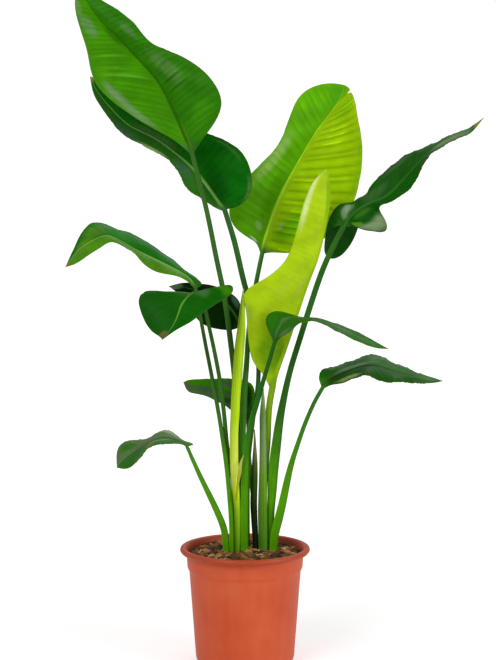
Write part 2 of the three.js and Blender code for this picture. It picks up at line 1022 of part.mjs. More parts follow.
function pocketGeometry({ x, y, halfWidth, halfDepth }) {
  const outline = new THREE.Shape();
  const corners = [[1, 1], [-1, 1], [-1, -1], [1, -1]];
  corners.forEach(([right, back], i) => {
    outline.absarc(
      x + right * (halfWidth - POCKET_CORNER),
      y + back * (halfDepth - POCKET_CORNER),
      POCKET_CORNER,
      i * Math.PI / 2,
      (i + 1) * Math.PI / 2,
    );
  });
  const depth = SOIL_TOP_Z + SOIL_MOUND + 2 * SOIL_RELIEF - POCKET_FLOOR_Z;
  return new THREE.ExtrudeGeometry(outline, { depth, bevelEnabled: false, curveSegments: 3 })
    .translate(0, 0, POCKET_FLOOR_Z);
}

function soilGeometry() {
  const inside = (radius) => radius - POT_WALL - SOIL_CLEARANCE;
  const profile = [
    [0, POT_FLOOR + SOIL_CLEARANCE],
    [inside(FOOT_RADIUS), POT_FLOOR + SOIL_CLEARANCE],
    [inside(HEEL_RADIUS), HEEL_Z + SOIL_CLEARANCE],
    [inside(SHOULDER_RADIUS), SHOULDER_Z],
    [inside(COLLAR_BOTTOM_RADIUS), COLLAR_BOTTOM_Z + 2],
    [inside(COLLAR_TOP_RADIUS) - 0.3, SOIL_TOP_Z],
  ];
  const rim = profile.at(-1)[0];
  for (let ring = SOIL_RINGS - 1; ring >= 0; ring -= 1) {
    profile.push([rim * ring / SOIL_RINGS, SOIL_TOP_Z]);
  }
  const geometry = turned(profile, POT_SIDES);
  const position = geometry.attributes.position;
  for (let i = 0; i < position.count; i += 1) {
    const x = position.getX(i);
    const y = position.getY(i);
    const radius = Math.hypot(x, y);
    if (position.getZ(i) > SOIL_TOP_Z - 0.01 && radius < rim - 1) {
      const mound = SOIL_MOUND * (1 - (radius / rim) ** 2);
      position.setZ(i, SOIL_TOP_Z + mound + lumps(x, y));
    }
  }
  let solid = toSolid(geometry);
  for (const pocket of POCKETS) {
    solid = solid.subtract(toSolid(pocketGeometry(pocket)));
  }
  return toGeometry(solid);
}

const plant = new THREE.Group();

function addPiece(name, geometry, color, roughness) {
  const material = new THREE.MeshStandardMaterial({ color, roughness, metalness: 0 });
  const mesh = new THREE.Mesh(geometry, material);
  mesh.name = name;
  plant.add(mesh);
}

addPiece('pot', potGeometry(), COLOUR.pot, 0.45);
addPiece('soil', soilGeometry(), COLOUR.soil, 0.95);
for (const [name, leaf] of Object.entries(LEAVES)) {
  addPiece(name, leafGeometry(leaf), leaf.colour, 0.4);
}
for (const [name, stem] of Object.entries(STEMS)) {
  addPiece(name, stemGeometry(stem), stem.colour, 0.5);
}

export default plant;
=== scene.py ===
import math

import bpy
import numpy as np
from bpy.props import FloatProperty, FloatVectorProperty, IntProperty, PointerProperty
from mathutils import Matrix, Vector


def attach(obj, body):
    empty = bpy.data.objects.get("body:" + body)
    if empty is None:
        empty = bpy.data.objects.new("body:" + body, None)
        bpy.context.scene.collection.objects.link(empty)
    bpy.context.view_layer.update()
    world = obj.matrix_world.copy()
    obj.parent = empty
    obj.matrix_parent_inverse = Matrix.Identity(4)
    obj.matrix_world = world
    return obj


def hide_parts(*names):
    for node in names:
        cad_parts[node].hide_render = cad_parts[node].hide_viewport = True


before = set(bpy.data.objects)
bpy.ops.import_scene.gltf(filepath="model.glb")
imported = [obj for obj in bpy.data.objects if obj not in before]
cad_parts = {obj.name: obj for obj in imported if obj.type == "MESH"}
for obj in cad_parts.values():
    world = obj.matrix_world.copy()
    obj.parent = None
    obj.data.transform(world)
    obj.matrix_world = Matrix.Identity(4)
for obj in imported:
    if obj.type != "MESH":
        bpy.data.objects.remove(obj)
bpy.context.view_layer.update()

bl_info = {
    "name": "Potted bird of paradise",
    "version": (1, 0, 0),
    "blender": (4, 5, 0),
    "location": "View3D > Sidebar > Plant",
    "description": "Builds a bird of paradise plant in its nursery pot around its packed frame",
    "category": "Add Mesh",
}

MM = 0.001

# The viewing spot of the outlines, in millimetres. Each point of a leaf is [across, up, back]:
# across and up on a plane through the pot's axis that faces the eye, and back the distance
# behind that plane, along the line of sight.
EYE_DISTANCE = 2400.0
EYE_TILT = math.radians(4.1)
AIM = np.array((4.9, 0.0, 546.0))
PLANE_FOOT = 10.0
SIGHT_UP = np.array((0.0, math.sin(EYE_TILT), math.cos(EYE_TILT)))
EYE = AIM + EYE_DISTANCE * np.array((0.0, -math.cos(EYE_TILT), math.sin(EYE_TILT)))

# Heights of the mix's top and of the floor of the pockets that hold the stalks' feet.
SOIL_TOP = 179.0
POCKET_FLOOR = 142.4

# Outlines of the open leaves, in millimetres: the stalk's foot [x, y, width, thickness], the
# stalk [across, up, back, width, thickness], and the blade's left margin, rib, right margin
# and tip [across, up, back]. crown bows each half of the blade by that share of its breadth,
# rib_in_front turns the proud side of the rib to the eye, and the folds are the middles of
# the halves of a blade that is folded or twisted.
LEAVES = {
    "leaf_top_left": dict(
        crown=0.05, foot=(-16, 13, 9, 9), tip=(-270, 1093, 35),
        stalk=((-16, 280, 12, 8.6, 8.4), (-14.4, 380, 10, 8.6, 8), (-15.6, 440, 8, 8.8, 8),
               (-18.2, 471, 6.5, 9, 8.2), (-23.8, 520, 4, 9.2, 8.2), (-32.5, 585, 0, 8.8, 8),
               (-46.6, 653, -4, 8.2, 7.6), (-62.5, 731, -8, 8, 7.4), (-86, 824, -12, 7.6, 6.8)),
        left=((-112, 843, -16), (-154, 866, -22), (-192, 890, -27), (-234, 925, -24),
              (-249, 951, -16), (-257, 991, -5), (-273, 1042, 10), (-277, 1072, 24)),
        rib=((-93, 838, -12), (-104, 864, -8), (-122, 905, -2), (-146, 947, 4), (-177, 980, 10),
             (-211, 1016, 17), (-239, 1043, 24), (-262, 1080, 31)),
        right=((-70, 845, -16), (-47, 876, -25), (-37, 908, -29), (-60, 951, -24),
               (-104, 982, -14), (-154, 1003, 0), (-184, 1040, 14), (-224, 1067, 27))),
    "leaf_top_left_rear": dict(
        crown=0.06, foot=(4, 13, 8.2, 9), tip=(-252, 948, 46),
        stalk=((4, 250, 13, 7.6, 8), (4.5, 300, 13, 7.5, 7.8), (6.5, 335, 13.4, 7.4, 7.6),
               (11, 372, 14.4, 7.2, 7.4), (16, 412, 15.5, 7.2, 7.2), (21.4, 450, 17, 7.4, 7.4),
               (21, 500, 20, 8, 8), (12.5, 560, 23, 9, 8.6), (-2.6, 617, 25, 9.4, 8.6),
               (-17.8, 682, 26, 9.2, 8.4), (-33, 731, 27, 8.4, 7.8)),
        left=((-47, 733, 23), (-68, 748, 20), (-94, 764, 18), (-104, 783, 18), (-122, 811, 19),
              (-154, 829, 22), (-200, 855, 27), (-226, 887, 34), (-247, 920, 41)),
        rib=((-44, 746, 29), (-57, 764, 33), (-71, 783, 36), (-89, 803, 38), (-112, 822, 40),
             (-146, 847, 42), (-190, 869, 44), (-219, 897, 45), (-242, 926, 45)),
        right=((-8, 737, 20), (10, 757, 16), (11, 790, 18), (-3, 824, 24), (-37, 847, 30),
               (-89, 865, 35), (-146, 897, 40), (-190, 923, 43), (-229, 942, 45))),
    "leaf_top_centre": dict(
        crown=0.04, rib_in_front=True, foot=(-4, 0, 9, 9), tip=(162, 934, 72),
        stalk=((-4, 260, 0, 9, 9), (-4, 357, 2, 10, 9), (-2, 410, 6, 10.4, 9),
               (-0.2, 447, 12, 10, 8.6), (2.6, 480, 18, 9, 8.2), (4.4, 512, 24, 8.4, 8),
               (7, 544, 34, 8, 7.6), (13, 585, 46, 7.8, 7.4), (20.5, 625, 56, 7.6, 7.2),
               (28, 661, 64, 7.6, 7)),
        left=((21, 676, 65), (8, 684, 62), (-18, 704, 58), (-26, 733, 56), (-5, 774, 56),
              (28, 808, 56), (57, 842, 56), (73, 884, 57), (91, 920, 61), (122, 936, 66),
              (145, 938, 70)),
        rib=((29, 668, 66), (32, 681, 69), (38, 700, 72), (50, 736, 77), (65, 770, 80),
             (83, 803, 82), (101, 834, 82), (120, 864, 80), (140, 890, 77), (156, 913, 73),
             (159, 923, 72.5)),
        right=((40, 663, 68), (72, 660, 74), (109, 669, 80), (146, 702, 86), (174, 738, 88),
               (188, 788, 86), (191, 832, 83), (184, 878, 79), (177, 915, 76), (172, 923, 73),
               (170, 930, 72.5))),
    "leaf_unfurling": dict(
        crown=0.1, rib_in_front=True, foot=(31, 5, 8, 8), tip=(132, 799, 20),
        stalk=((31, 240, 5, 8, 8), (33.5, 310, 6, 9.4, 8), (36.8, 357, 7, 10.4, 8),
               (38.2, 398, 8, 10.4, 8), (40.7, 422, 9, 10.4, 8), (44.5, 443, 10, 10.8, 8)),
        left=((29, 465, 2), (13, 483, -6), (5, 523, -13), (2, 566, -18), (-2, 598, -20),
              (34, 620, -14), (63, 645, -8), (76, 671, -3), (86, 708, 1), (97, 747, 5),
              (112, 780, 11)),
        rib=((50, 465, 10), (58, 487, 10), (73, 528, 9), (88, 572, 8), (99, 604, 8), (109, 630, 9),
             (117, 650, 10), (125, 680, 12), (133, 716, 14), (138, 752, 16), (136, 784, 18)),
        right=((53, 466, 15), (55, 489, 28), (54, 530, 40), (63, 574, 46), (75, 608, 48),
               (87, 634, 47), (97, 656, 45), (108, 690, 43), (119, 728, 40), (130, 760, 36),
               (136, 786, 29))),
    "leaf_top_right": dict(
        foot=(41.5, 2.6, 11.5, 11), tip=(388, 881, -18),
        stalk=((42, 240, 2, 12, 11), (44.2, 276, 1, 15.2, 11), (46.2, 310, 0, 16.8, 11),
               (50.4, 345, 0.6, 16, 11), (55.6, 385, 2.4, 13.8, 10.8), (62.4, 422, 4, 11, 10.4),
               (73.6, 471, 6, 9.6, 9.6), (88.7, 520, 9.5, 9.6, 9.6), (105, 572, 13, 9.6, 9.6),
               (127, 636, 18, 9.4, 9.4), (145.4, 676, 21, 9, 9), (160, 704, 23, 8.4, 8.4)),
        left=((145, 706, 38), (133, 690, 47), (127, 657, 54), (146, 649, 60), (169, 670, 64),
              (184, 700, 64), (190, 731, 56), (198, 762, 42), (229, 795, 34), (255, 817, 30),
              (291, 833, 26), (333, 852, 18), (366, 866, 2)),
        left_fold=((155, 713, 31), (145, 720, 37), (140, 726, 42), (148, 733, 46), (159, 737, 48),
                   (174, 741, 46), (185, 751, 40), (201, 757, 30), (226, 775, 23), (254, 801, 18),
                   (291, 828, 12), (333, 850, 5), (366, 864, -6)),
        rib=((163, 712, 24), (166, 715, 24), (169, 718, 24), (173, 722, 23), (178, 726, 22),
             (184, 730, 20), (192, 736, 17), (205, 743, 14), (228, 752, 8), (257, 780, 2),
             (291, 817, -4), (333, 845, -10), (366, 861, -14)),
        right_fold=((167, 709, 22), (173, 708, 19), (177, 706, 16), (185, 708, 13), (193, 715, 10),
                    (201, 722, 9), (207, 731, 9), (212, 740, 6), (235, 748, 0), (265, 775, -8),
                    (294, 817, -16), (335, 843, -22), (368, 859, -20)),
        right=((171, 706, 20), (183, 702, 17), (198, 697, 13), (216, 694, 9), (230, 696, 7),
               (231, 708, 6), (223, 724, 7), (217, 736, 0), (242, 746, -8), (275, 773, -18),
               (298, 818, -30), (337, 842, -34), (369, 858, -26))),
    "leaf_mid_left_long": dict(
        crown=0.08, foot=(-21.5, -13, 7.5, 9), tip=(-292, 638, -48),
        stalk=((-22.4, 228, -13, 7.8, 8.6), (-24.6, 260, -13, 8, 8.4),
               (-28.2, 300, -12.5, 7.8, 8.2), (-31, 325, -12.5, 8.2, 8),
               (-34.6, 349, -13, 7.6, 7.4), (-42.4, 398, -13, 6.8, 6.6), (-56, 471, -13, 6.4, 6.2),
               (-65.6, 520, -12, 6.2, 6), (-75, 572, -9, 5.8, 5.8), (-80, 604, -4, 5.6, 5.6)),
        left=((-94, 616, -8), (-114, 624, -14), (-138, 629, -20), (-161, 639, -24),
              (-179, 660, -26), (-197, 671, -30), (-216, 680, -36), (-234, 670, -42),
              (-255, 657, -47), (-275, 643, -50)),
        rib=((-89, 619, 0), (-109, 632, 0), (-135, 645, -2), (-158, 656, -5), (-180, 667, -9),
             (-201, 680, -15), (-224, 690, -24), (-244, 683, -34), (-265, 671, -42),
             (-280, 655, -47)),
        right=((-68, 610, 8), (-89, 627, 16), (-119, 652, 22), (-151, 674, 24), (-185, 693, 20),
               (-214, 703, 10), (-242, 712, -6), (-258, 704, -22), (-274, 678, -34),
               (-284, 656, -43))),
    "leaf_mid_left_front": dict(
        crown=-0.06, rib_in_front=True, foot=(-16.5, -1, 8.5, 8.5), tip=(-134, 520, -105),
        stalk=((-19, 290, -2, 7.8, 8), (-25.5, 325, -4, 7.2, 7.4), (-29.2, 349, -5, 7, 7),
               (-33.8, 398, -11, 7, 6.8), (-41, 455, -20, 6.8, 6.6), (-48.6, 496, -26, 6.6, 6.4),
               (-59, 544, -32, 6.2, 6), (-69, 584, -39, 5.6, 5.6), (-77, 594, -45, 5.4, 5.4),
               (-83, 597, -53, 5.2, 5.2)),
        left=((-104, 598, -56), (-130, 599, -54), (-162, 600, -50), (-172, 589, -56),
              (-171, 571, -67), (-162, 548, -80), (-151, 533, -91), (-140, 526, -99)),
        rib=((-87, 594, -59), (-92, 590, -64), (-97, 585, -69), (-102, 578, -75), (-106, 569, -82),
             (-110, 557, -90), (-117, 543, -97), (-125, 532, -101)),
        right=((-72, 600, -56), (-46, 606, -52), (-20, 609, -45), (-20, 596, -54), (-40, 583, -68),
               (-64, 567, -80), (-88, 549, -91), (-112, 536, -99))),
    "leaf_mid_left_rear": dict(
        crown=0.06, foot=(-5.5, 13, 8, 9), tip=(-124, 607, 28),
        stalk=((-7, 300, 14, 7.4, 8), (-8, 400, 17, 7, 7), (-8, 470, 20, 6.6, 6.6),
               (-7, 540, 24, 6.2, 6.2)),
        left=((-20, 536, 23), (-49, 538, 18), (-73, 548, 16), (-89, 572, 18), (-102, 590, 21),
              (-112, 598, 24)),
        rib=((-12, 553, 27), (-22, 569, 29), (-36, 584, 30), (-57, 595, 30), (-81, 601, 29),
             (-104, 606, 28)),
        right=((-7, 566, 30), (-9, 583, 33), (-22, 595, 35), (-50, 608, 34), (-78, 612, 32),
               (-102, 613, 30))),
    "leaf_mid_right": dict(
        crown=0.05, foot=(-0.9, -13, 12.8, 9), tip=(234, 505, -73),
        stalk=((-0.7, 260, -14, 13, 9), (0.4, 300, -15, 12, 8.8), (2, 325, -16, 10, 8.6),
               (2.8, 345, -17, 9.4, 8.4), (7.4, 374, -19.5, 9.4, 8.4), (13.2, 398, -23, 9.4, 8.2),
               (20.8, 422, -26, 8.6, 8), (27.6, 446, -31, 7.6, 7.4), (32.2, 462, -34.5, 7, 7),
               (42.2, 495, -42, 6.8, 6.6), (48.6, 518, -48, 6.6, 6.4)),
        left=((35.6, 541, -42), (33.4, 556, -36), (43, 565.5, -32), (62, 566, -28), (86, 556, -26),
              (115, 555, -28), (143, 548, -34), (174, 537, -44), (203, 522, -58)),
        rib=((51, 530, -54), (57, 543, -58), (65, 554, -62), (76, 557, -65), (96, 554, -68),
             (122, 551, -70), (151, 541, -71), (180, 528, -72), (206, 514, -72)),
        right=((57, 523, -66), (70, 530, -78), (80, 539, -88), (91, 548, -96), (109, 551, -102),
               (128, 545, -104), (154, 531, -102), (182, 518, -96), (210, 507, -86))),
    "leaf_low_right": dict(
        crown=0.06, foot=(46.5, -8.4, 13, 8), tip=(322, 453, -6),
        stalk=((48.5, 205, -8.4, 13.6, 8), (54.4, 228, -8, 14.4, 8.6), (60.3, 252, -7, 13.2, 9.2),
               (65.4, 276, -5, 12.2, 9.6), (70.8, 301, -4, 10.8, 9.4), (77.2, 325, -2, 8.8, 8.8),
               (85.3, 349, 0, 7.8, 7.8), (93.8, 374, 2, 7.2, 7.2), (103.4, 398, 5, 7, 7),
               (114.4, 422, 7, 6.8, 6.8), (126.6, 443, 9, 6.6, 6.6)),
        left=((119, 460, 18), (128, 473, 28), (154, 479, 38), (182, 490, 44), (206, 497, 46),
              (231, 488, 44), (257, 478, 38), (284, 465, 26), (304, 459, 14)),
        rib=((135, 453, 8), (151, 462, 6), (172, 471, 3), (193, 477, 0), (214, 478, -3),
             (237, 471, -6), (260, 465, -8), (286, 458, -8), (305, 455, -7)),
        right=((140, 447, 0), (159, 449, -12), (180, 458, -24), (198, 463, -34), (218, 453, -40),
               (239, 450, -42), (265, 451, -38), (289, 449, -29), (307, 450, -18))),
    "leaf_low_left": dict(
        crown=0.05, foot=(-30.8, -12, 10.8, 11), tip=(-208, 312, -37),
        stalk=((-33.8, 212, -12, 11.2, 10.6), (-46.6, 244, -13, 10.4, 10), (-62, 276, -15, 8.8, 9),
               (-76.8, 307, -17, 7.4, 7.6), (-94, 346, -20, 5.6, 5.6)),
        left=((-97, 348, -26), (-111, 351, -34), (-126, 351, -42), (-142, 349, -50),
              (-156, 345, -55), (-166, 332, -56), (-180, 317, -54), (-193, 310, -46)),
        rib=((-99, 352, -20), (-112, 357, -20), (-127, 361, -20), (-142, 359, -22),
             (-157, 352, -24), (-171, 343, -27), (-187, 332, -31), (-201, 321, -35)),
        right=((-80, 350, -14), (-103, 358, -4), (-119, 371, 6), (-135, 375, 12), (-154, 361, 14),
               (-174, 357, 10), (-197, 355, 0), (-208, 340, -16))),
    "leaf_low_rear": dict(
        crown=0.06, foot=(18, 11, 8.5, 8.5), tip=(-100, 451, 53),
        stalk=((16, 236, 14, 8, 8), (12, 276, 22, 7.6, 7.6), (7, 325, 31, 7, 7),
               (5, 394, 40, 6.4, 6.4)),
        left=((-3, 398, 40), (-18, 402, 38), (-31, 412, 38), (-49, 422, 40), (-68, 430, 43),
              (-84, 433, 46), (-94, 436, 49)),
        rib=((0, 408, 46), (-9, 421, 50), (-24, 433, 53), (-44, 440, 54), (-63, 444, 54),
             (-81, 446, 54), (-92, 447, 53)),
        right=((15, 424, 52), (13, 447, 60), (-5, 455, 66), (-31, 457, 68), (-55, 457, 66),
               (-78, 456, 62), (-93, 455, 57))),
}

# The stems without a blade: the rolled leaf and the two old sheaths.
STEMS = {
    "leaf_rolled": dict(
        foot=(-12.5, -13.5, 9.5, 8.5),
        stalk=((-13.2, 250, -14, 10.4, 8.5), (-15.4, 280, -14.5, 12, 8.5),
               (-17.2, 305, -15, 13.6, 8.6), (-18, 335, -15.5, 14.4, 8.8),
               (-18, 370, -16, 14.8, 9.4), (-16.4, 400, -17, 15.8, 9.8),
               (-14.8, 432, -17.5, 16.2, 10), (-12.2, 460, -18, 16, 10),
               (-9.8, 495, -18, 15.8, 9.8), (-6.8, 524, -17.6, 15.4, 9),
               (-4.9, 548, -17.2, 12, 8.2), (-4.1, 570, -16.8, 9.2, 7), (-3.4, 590, -16.4, 5, 4.6),
               (-2.4, 603, -16, 1.6, 1.6))),
    "sheath_old": dict(
        foot=(29.5, -7.5, 14.6, 8),
        stalk=((28.6, 240, -6, 15.4, 8), (29, 280, -5.5, 14, 8), (29.4, 325, -4, 12, 8),
               (29.2, 374, -3, 11, 7.5), (28.8, 398, -2.5, 10.6, 7), (29.2, 418, -2, 7, 5.4),
               (29.6, 440, -1, 2, 2))),
    "sheath_dry": dict(
        foot=(17.4, -2, 9, 10),
        stalk=((15.2, 228, -1.5, 10.6, 9), (14.2, 255, -1, 11.4, 8.6), (15.6, 300, 0, 10.6, 7.6),
               (16, 325, 0.5, 8.6, 6.6), (16, 349, 1, 4.6, 4.6), (15.5, 374, 2, 1.6, 1.6))),
}

# What each open leaf looks like: the colours of its two halves, rib and tip, and of its stalk;
# the depth of its pleats, of its margin's wave and of its margin's crinkles in millimetres;
# how much lighter than its creases the ridges of each half are painted, a painted highlight on
# the ridges and painted shade in the creases; and where they differ from the usual, the
# pleats' spacing, the veins' slants, the share of the pale underside's colour, and the tears
# of its margins: side, place along, depth and breadth. Some halves' colours are partly painted
# light: the bright yellow-greens of leaf_top_centre's right half and of leaf_unfurling hold
# painted light shining through them from behind, and the near-black greens of
# leaf_mid_left_rear and of leaf_top_left_rear's right half hold painted shade.
LOOKS = {
    "leaf_top_left": dict(
        left="#3f8a00", right="#2d7800", rib="#326e0a", tip="#3c7a14", stalk="#3a6c26",
        pleat=0.7, wave=1.2, crinkle=0.3, ridges=(0.34, 0.34)),
    "leaf_top_left_rear": dict(
        left="#2c6c1a", right="#046200", rib="#78aa50", tip="#8c9628", stalk="#356a28",
        pleat=0.4, wave=1.6, crinkle=1.1, ridges=(0.15, 0.25)),
    "leaf_top_centre": dict(
        left="#5eae00", right="#96c200", rib="#b4e02c", tip="#58ac00", stalk="#47842a",
        pleat=1.0, wave=1.4, crinkle=0.6, ridges=(0.3, 0.58), spacing=12.0, slants=(0.55, 0.22),
        nicks=(("right", 0.93, 7.0, 2.2),)),
    "leaf_unfurling": dict(
        left="#aed212", right="#a6d405", rib="#96c00c", tip="#a8cc28", stalk="#8cb41c",
        pleat=0.25, wave=1.2, crinkle=0.3, ridges=(0.1, 0.1), underside=0.0),
    "leaf_top_right": dict(
        left="#1a5a0c", right="#0c5404", rib="#2f6e20", tip="#b46e32", stalk="#2f681c",
        pleat=0.5, wave=1.6, crinkle=0.7, ridges=(0.24, 0.3), underside=0.0),
    "leaf_mid_left_long": dict(
        left="#4a8810", right="#127000", rib="#82af5a", tip="#96503c", stalk="#3c6e24",
        pleat=0.4, wave=1.4, crinkle=0.3, ridges=(0.12, 0.14), underside=0.0),
    "leaf_mid_left_front": dict(
        left="#0f5a00", right="#0f5f00", rib="#5f9b32", tip="#8a5030", stalk="#386a1e",
        pleat=0.35, wave=1.2, crinkle=0.3, ridges=(0.14, 0.14), underside=0.0,
        nicks=(("left", 0.16, 1.8, 1.4), ("left", 0.27, 1.4, 1.3))),
    "leaf_mid_left_rear": dict(
        left="#042c00", right="#042800", rib="#3c6e28", tip="#829c78", stalk="#1c4a18",
        pleat=0.3, wave=1.2, crinkle=0.3, ridges=(0.14, 0.14), underside=0.0),
    "leaf_mid_right": dict(
        left="#286c00", right="#2d6e14", rib="#508040", tip="#7c9060", stalk="#286418",
        pleat=0.3, wave=1.0, crinkle=0.3, ridges=(0.12, 0.12)),
    "leaf_low_right": dict(
        left="#2c681a", right="#185800", rib="#2d4b19", tip="#785028", stalk="#3a7a1c",
        pleat=0.5, wave=1.6, crinkle=0.9, ridges=(0.2, 0.24), underside=0.0),
    "leaf_low_left": dict(
        left="#2f6c22", right="#5a7846", rib="#3c5a28", tip="#507c3c", stalk="#3c7f28",
        pleat=0.4, wave=1.4, crinkle=0.7, ridges=(0.2, 0.2), underside=0.1),
    "leaf_low_rear": dict(
        left="#4a7240", right="#409000", rib="#46782d", tip="#5a6e50", stalk="#205414",
        pleat=0.5, wave=1.4, crinkle=0.6, ridges=(0.2, 0.24)),
}

# Patches on the blades, partly painted light: painted sheen, the lamps' reflection in the
# wax; painted shade beside the rib and where a blade lies in the shade of others; paler
# margins, partly painted highlight; and the rib's and tip's own colours. Each gives its place
# along the blade from its base to its tip, place across from -1 at the left margin to 1 at
# the right one, half length and half breadth in millimetres, colour, and strength.
PATCHES = {
    "leaf_top_left": (
        (0.78, -0.65, 24, 14, "#689154", 0.75), (0.90, -0.85, 28, 9, "#6c9650", 0.6),
        (0.75, 0.60, 24, 14, "#50823a", 0.7), (0.70, -0.08, 34, 8, "#2c6400", 0.6),
        (0.47, 0.40, 50, 22, "#528437", 0.85), (0.52, -0.80, 28, 18, "#4e9600", 0.6),
        (0.36, -0.85, 44, 10, "#739660", 0.85), (0.22, -0.88, 42, 11, "#6e965a", 0.8),
        (0.05, 0.0, 60, 6, "#7da014", 0.8), (0.46, -0.45, 2.6, 44, "#7cc840", 0.65),
        (0.52, -0.50, 2.2, 30, "#6eb82c", 0.5), (0.60, -0.45, 2.2, 26, "#62ac28", 0.5),
        (0.43, -0.45, 4.0, 44, "#2c6c00", 0.5), (0.40, 0.30, 2.4, 32, "#1c5c00", 0.8),
        (0.35, 0.30, 2.4, 28, "#1c5c00", 0.8), (0.50, 0.45, 2.6, 26, "#1e5c0a", 0.6),
        (0.18, 0.60, 44, 26, "#3a8600", 0.7),
    ),
    "leaf_top_left_rear": (
        (0.54, 0.10, 60, 11, "#3a6c26", 0.8), (0.50, -0.95, 38, 7, "#96b973", 0.85),
        (0.31, -0.50, 24, 13, "#3e6948", 0.85), (0.68, -0.80, 32, 15, "#3c6446", 0.7),
        (0.13, -0.85, 32, 15, "#236900", 0.7), (0.30, 0.75, 40, 24, "#055f00", 0.7),
        (0.16, 0.25, 46, 28, "#024800", 0.6), (0.34, 0.90, 34, 4, "#4a7838", 0.6),
        (0.14, 0.93, 26, 3, "#5a8246", 0.6),
    ),
    "leaf_top_centre": (
        (0.53, -0.78, 58, 16, "#8cbc50", 0.9), (0.36, -0.20, 50, 18, "#4e9c00", 0.6),
        (0.15, -0.30, 13, 8, "#96be6e", 0.7), (0.07, -0.70, 9, 4, "#dcebc8", 0.8),
        (0.94, -0.22, 28, 22, "#48a000", 0.7), (0.81, 0.62, 28, 22, "#7cb800", 0.7),
        (0.53, 0.50, 62, 32, "#a2d000", 0.6), (0.53, 0.95, 60, 8, "#82be00", 0.9),
        (0.19, 0.40, 42, 28, "#58a800", 0.75), (0.17, 0.20, 9, 5, "#96c364", 0.7),
    ),
    "leaf_unfurling": (
        (0.88, -0.90, 64, 6, "#dceb9b", 0.8), (0.86, -0.05, 54, 8, "#82b400", 0.8),
        (0.99, -0.40, 10, 8, "#2c7010", 0.6), (0.48, -0.15, 26, 5, "#b4cd50", 0.7),
        (0.49, -0.50, 30, 14, "#afcd28", 0.6), (0.32, -0.62, 32, 20, "#8caf00", 0.7),
        (0.37, -0.97, 32, 4, "#8ca546", 0.8), (0.17, -0.40, 54, 44, "#5e9600", 0.8),
    ),
    "leaf_top_right": (
        (0.40, -0.80, 48, 10, "#41693c", 0.9), (0.24, -0.32, 32, 14, "#3c6932", 0.8),
        (0.40, 0.30, 56, 22, "#125c04", 0.9), (0.76, 0.0, 42, 12, "#7d9b64", 0.9),
        (0.87, 0.0, 18, 10, "#508c32", 0.85), (0.95, 0.0, 12, 8, "#969614", 0.9),
        (0.11, 0.80, 19, 15, "#7d9669", 0.95), (0.06, -0.12, 18, 8, "#87a57d", 0.85),
        (0.13, 0.25, 16, 10, "#32780a", 0.8), (0.08, 0.48, 9, 8, "#5fa50a", 0.7),
        (0.09, -0.93, 26, 28, "#0a4600", 0.9),
    ),
    "leaf_mid_left_long": (
        (0.71, 0.40, 30, 16, "#4a7c20", 0.85), (0.82, 0.0, 24, 12, "#558c0a", 0.7),
        (0.57, 0.25, 28, 13, "#147800", 0.9), (0.40, 0.45, 24, 9, "#246414", 0.8),
        (0.27, 0.75, 32, 6, "#46704a", 0.7), (0.41, -0.78, 26, 10, "#4a8808", 0.85),
        (0.20, -0.40, 28, 9, "#5c8c34", 0.85),
    ),
    "leaf_mid_left_front": (
        (0.09, -0.50, 7, 42, "#46643c", 0.75), (0.20, 0.38, 14, 17, "#466e3c", 0.8),
        (0.26, 0.85, 12, 17, "#3c8205", 0.9), (0.88, -0.60, 10, 12, "#8c5f46", 0.6),
    ),
    "leaf_mid_left_rear": (
        (0.26, 0.78, 17, 9, "#5a7864", 0.85), (0.92, 0.0, 16, 9, "#82a07d", 0.9),
        (0.80, 0.10, 8, 8, "#143c0a", 0.7),
    ),
    "leaf_mid_right": (
        (0.13, -0.50, 24, 16, "#2d7805", 0.8), (0.19, 0.0, 12, 8, "#5a8246", 0.8),
        (0.12, 0.78, 18, 6, "#5a7d50", 0.85), (0.36, 0.0, 26, 6, "#788c5a", 0.8),
        (0.60, 0.12, 30, 10, "#5f874b", 0.85), (0.83, 0.0, 22, 10, "#3c822d", 0.8),
    ),
    "leaf_low_right": (
        (0.08, -0.78, 13, 10, "#197800", 0.85), (0.25, -0.75, 26, 6, "#3c8214", 0.8),
        (0.30, -0.20, 42, 7, "#7a9270", 0.85), (0.54, 0.35, 32, 12, "#0c5c00", 0.9),
        (0.61, -0.62, 42, 8, "#5f7d64", 0.85), (0.22, 0.75, 30, 6, "#96aa6e", 0.85),
        (0.86, 0.0, 24, 10, "#46823c", 0.8),
    ),
    "leaf_low_left": (
        (0.76, 0.53, 20, 15, "#2d730f", 0.9), (0.66, -0.93, 17, 11, "#4b7846", 0.8),
        (0.33, 0.83, 28, 11, "#a0af8c", 0.9), (0.36, -0.38, 24, 7, "#6e9664", 0.8),
        (0.49, -0.70, 12, 10, "#6e781e", 0.8), (0.11, 0.90, 20, 6, "#5f825a", 0.8),
    ),
    "leaf_low_rear": (
        (0.77, 0.45, 20, 10, "#409000", 0.9), (0.69, -0.30, 20, 8, "#466450", 0.85),
        (0.95, -0.38, 10, 8, "#5a6e50", 0.85), (0.49, 0.50, 14, 9, "#5f695a", 0.8),
        (0.39, -0.57, 14, 8, "#195014", 0.8), (0.20, 0.50, 22, 16, "#0a3700", 0.9),
    ),
}

# Colours that several leaves share, the painted shade of the pot's lip and inner wall, and the
# pot's dust.
SHEATH_GREEN = "#549c04"
UNDERSIDE = "#8aa878"
MARGIN = "#8a7a2c"
LIP_PAINTED_SHADE = "#a03a18"
PALE_DUST = "#d8a684"

# Colours of the stems that stand free, by height above the ground in millimetres.
SPEAR_HUES = (
    (185, "#5c9c05"), (255, "#96cc08"), (280, "#d4ec00"), (322, "#f0ff60"), (350, "#e0f450"),
    (405, "#c0ea14"), (530, "#b8e014"), (610, "#a8d228"),
)
SHEATH_HUES = (
    (185, "#4b8414"), (260, "#5c9410"), (305, "#6c9c20"), (345, "#7ca058"), (440, "#84a860"),
)
# The dry sheath's near-black green low down is partly painted shade from the stalks round it.
DRY_HUES = (
    (185, "#062400"), (250, "#103000"), (300, "#345c10"), (328, "#5f6c28"), (350, "#96965a"),
    (385, "#a08c50"),
)

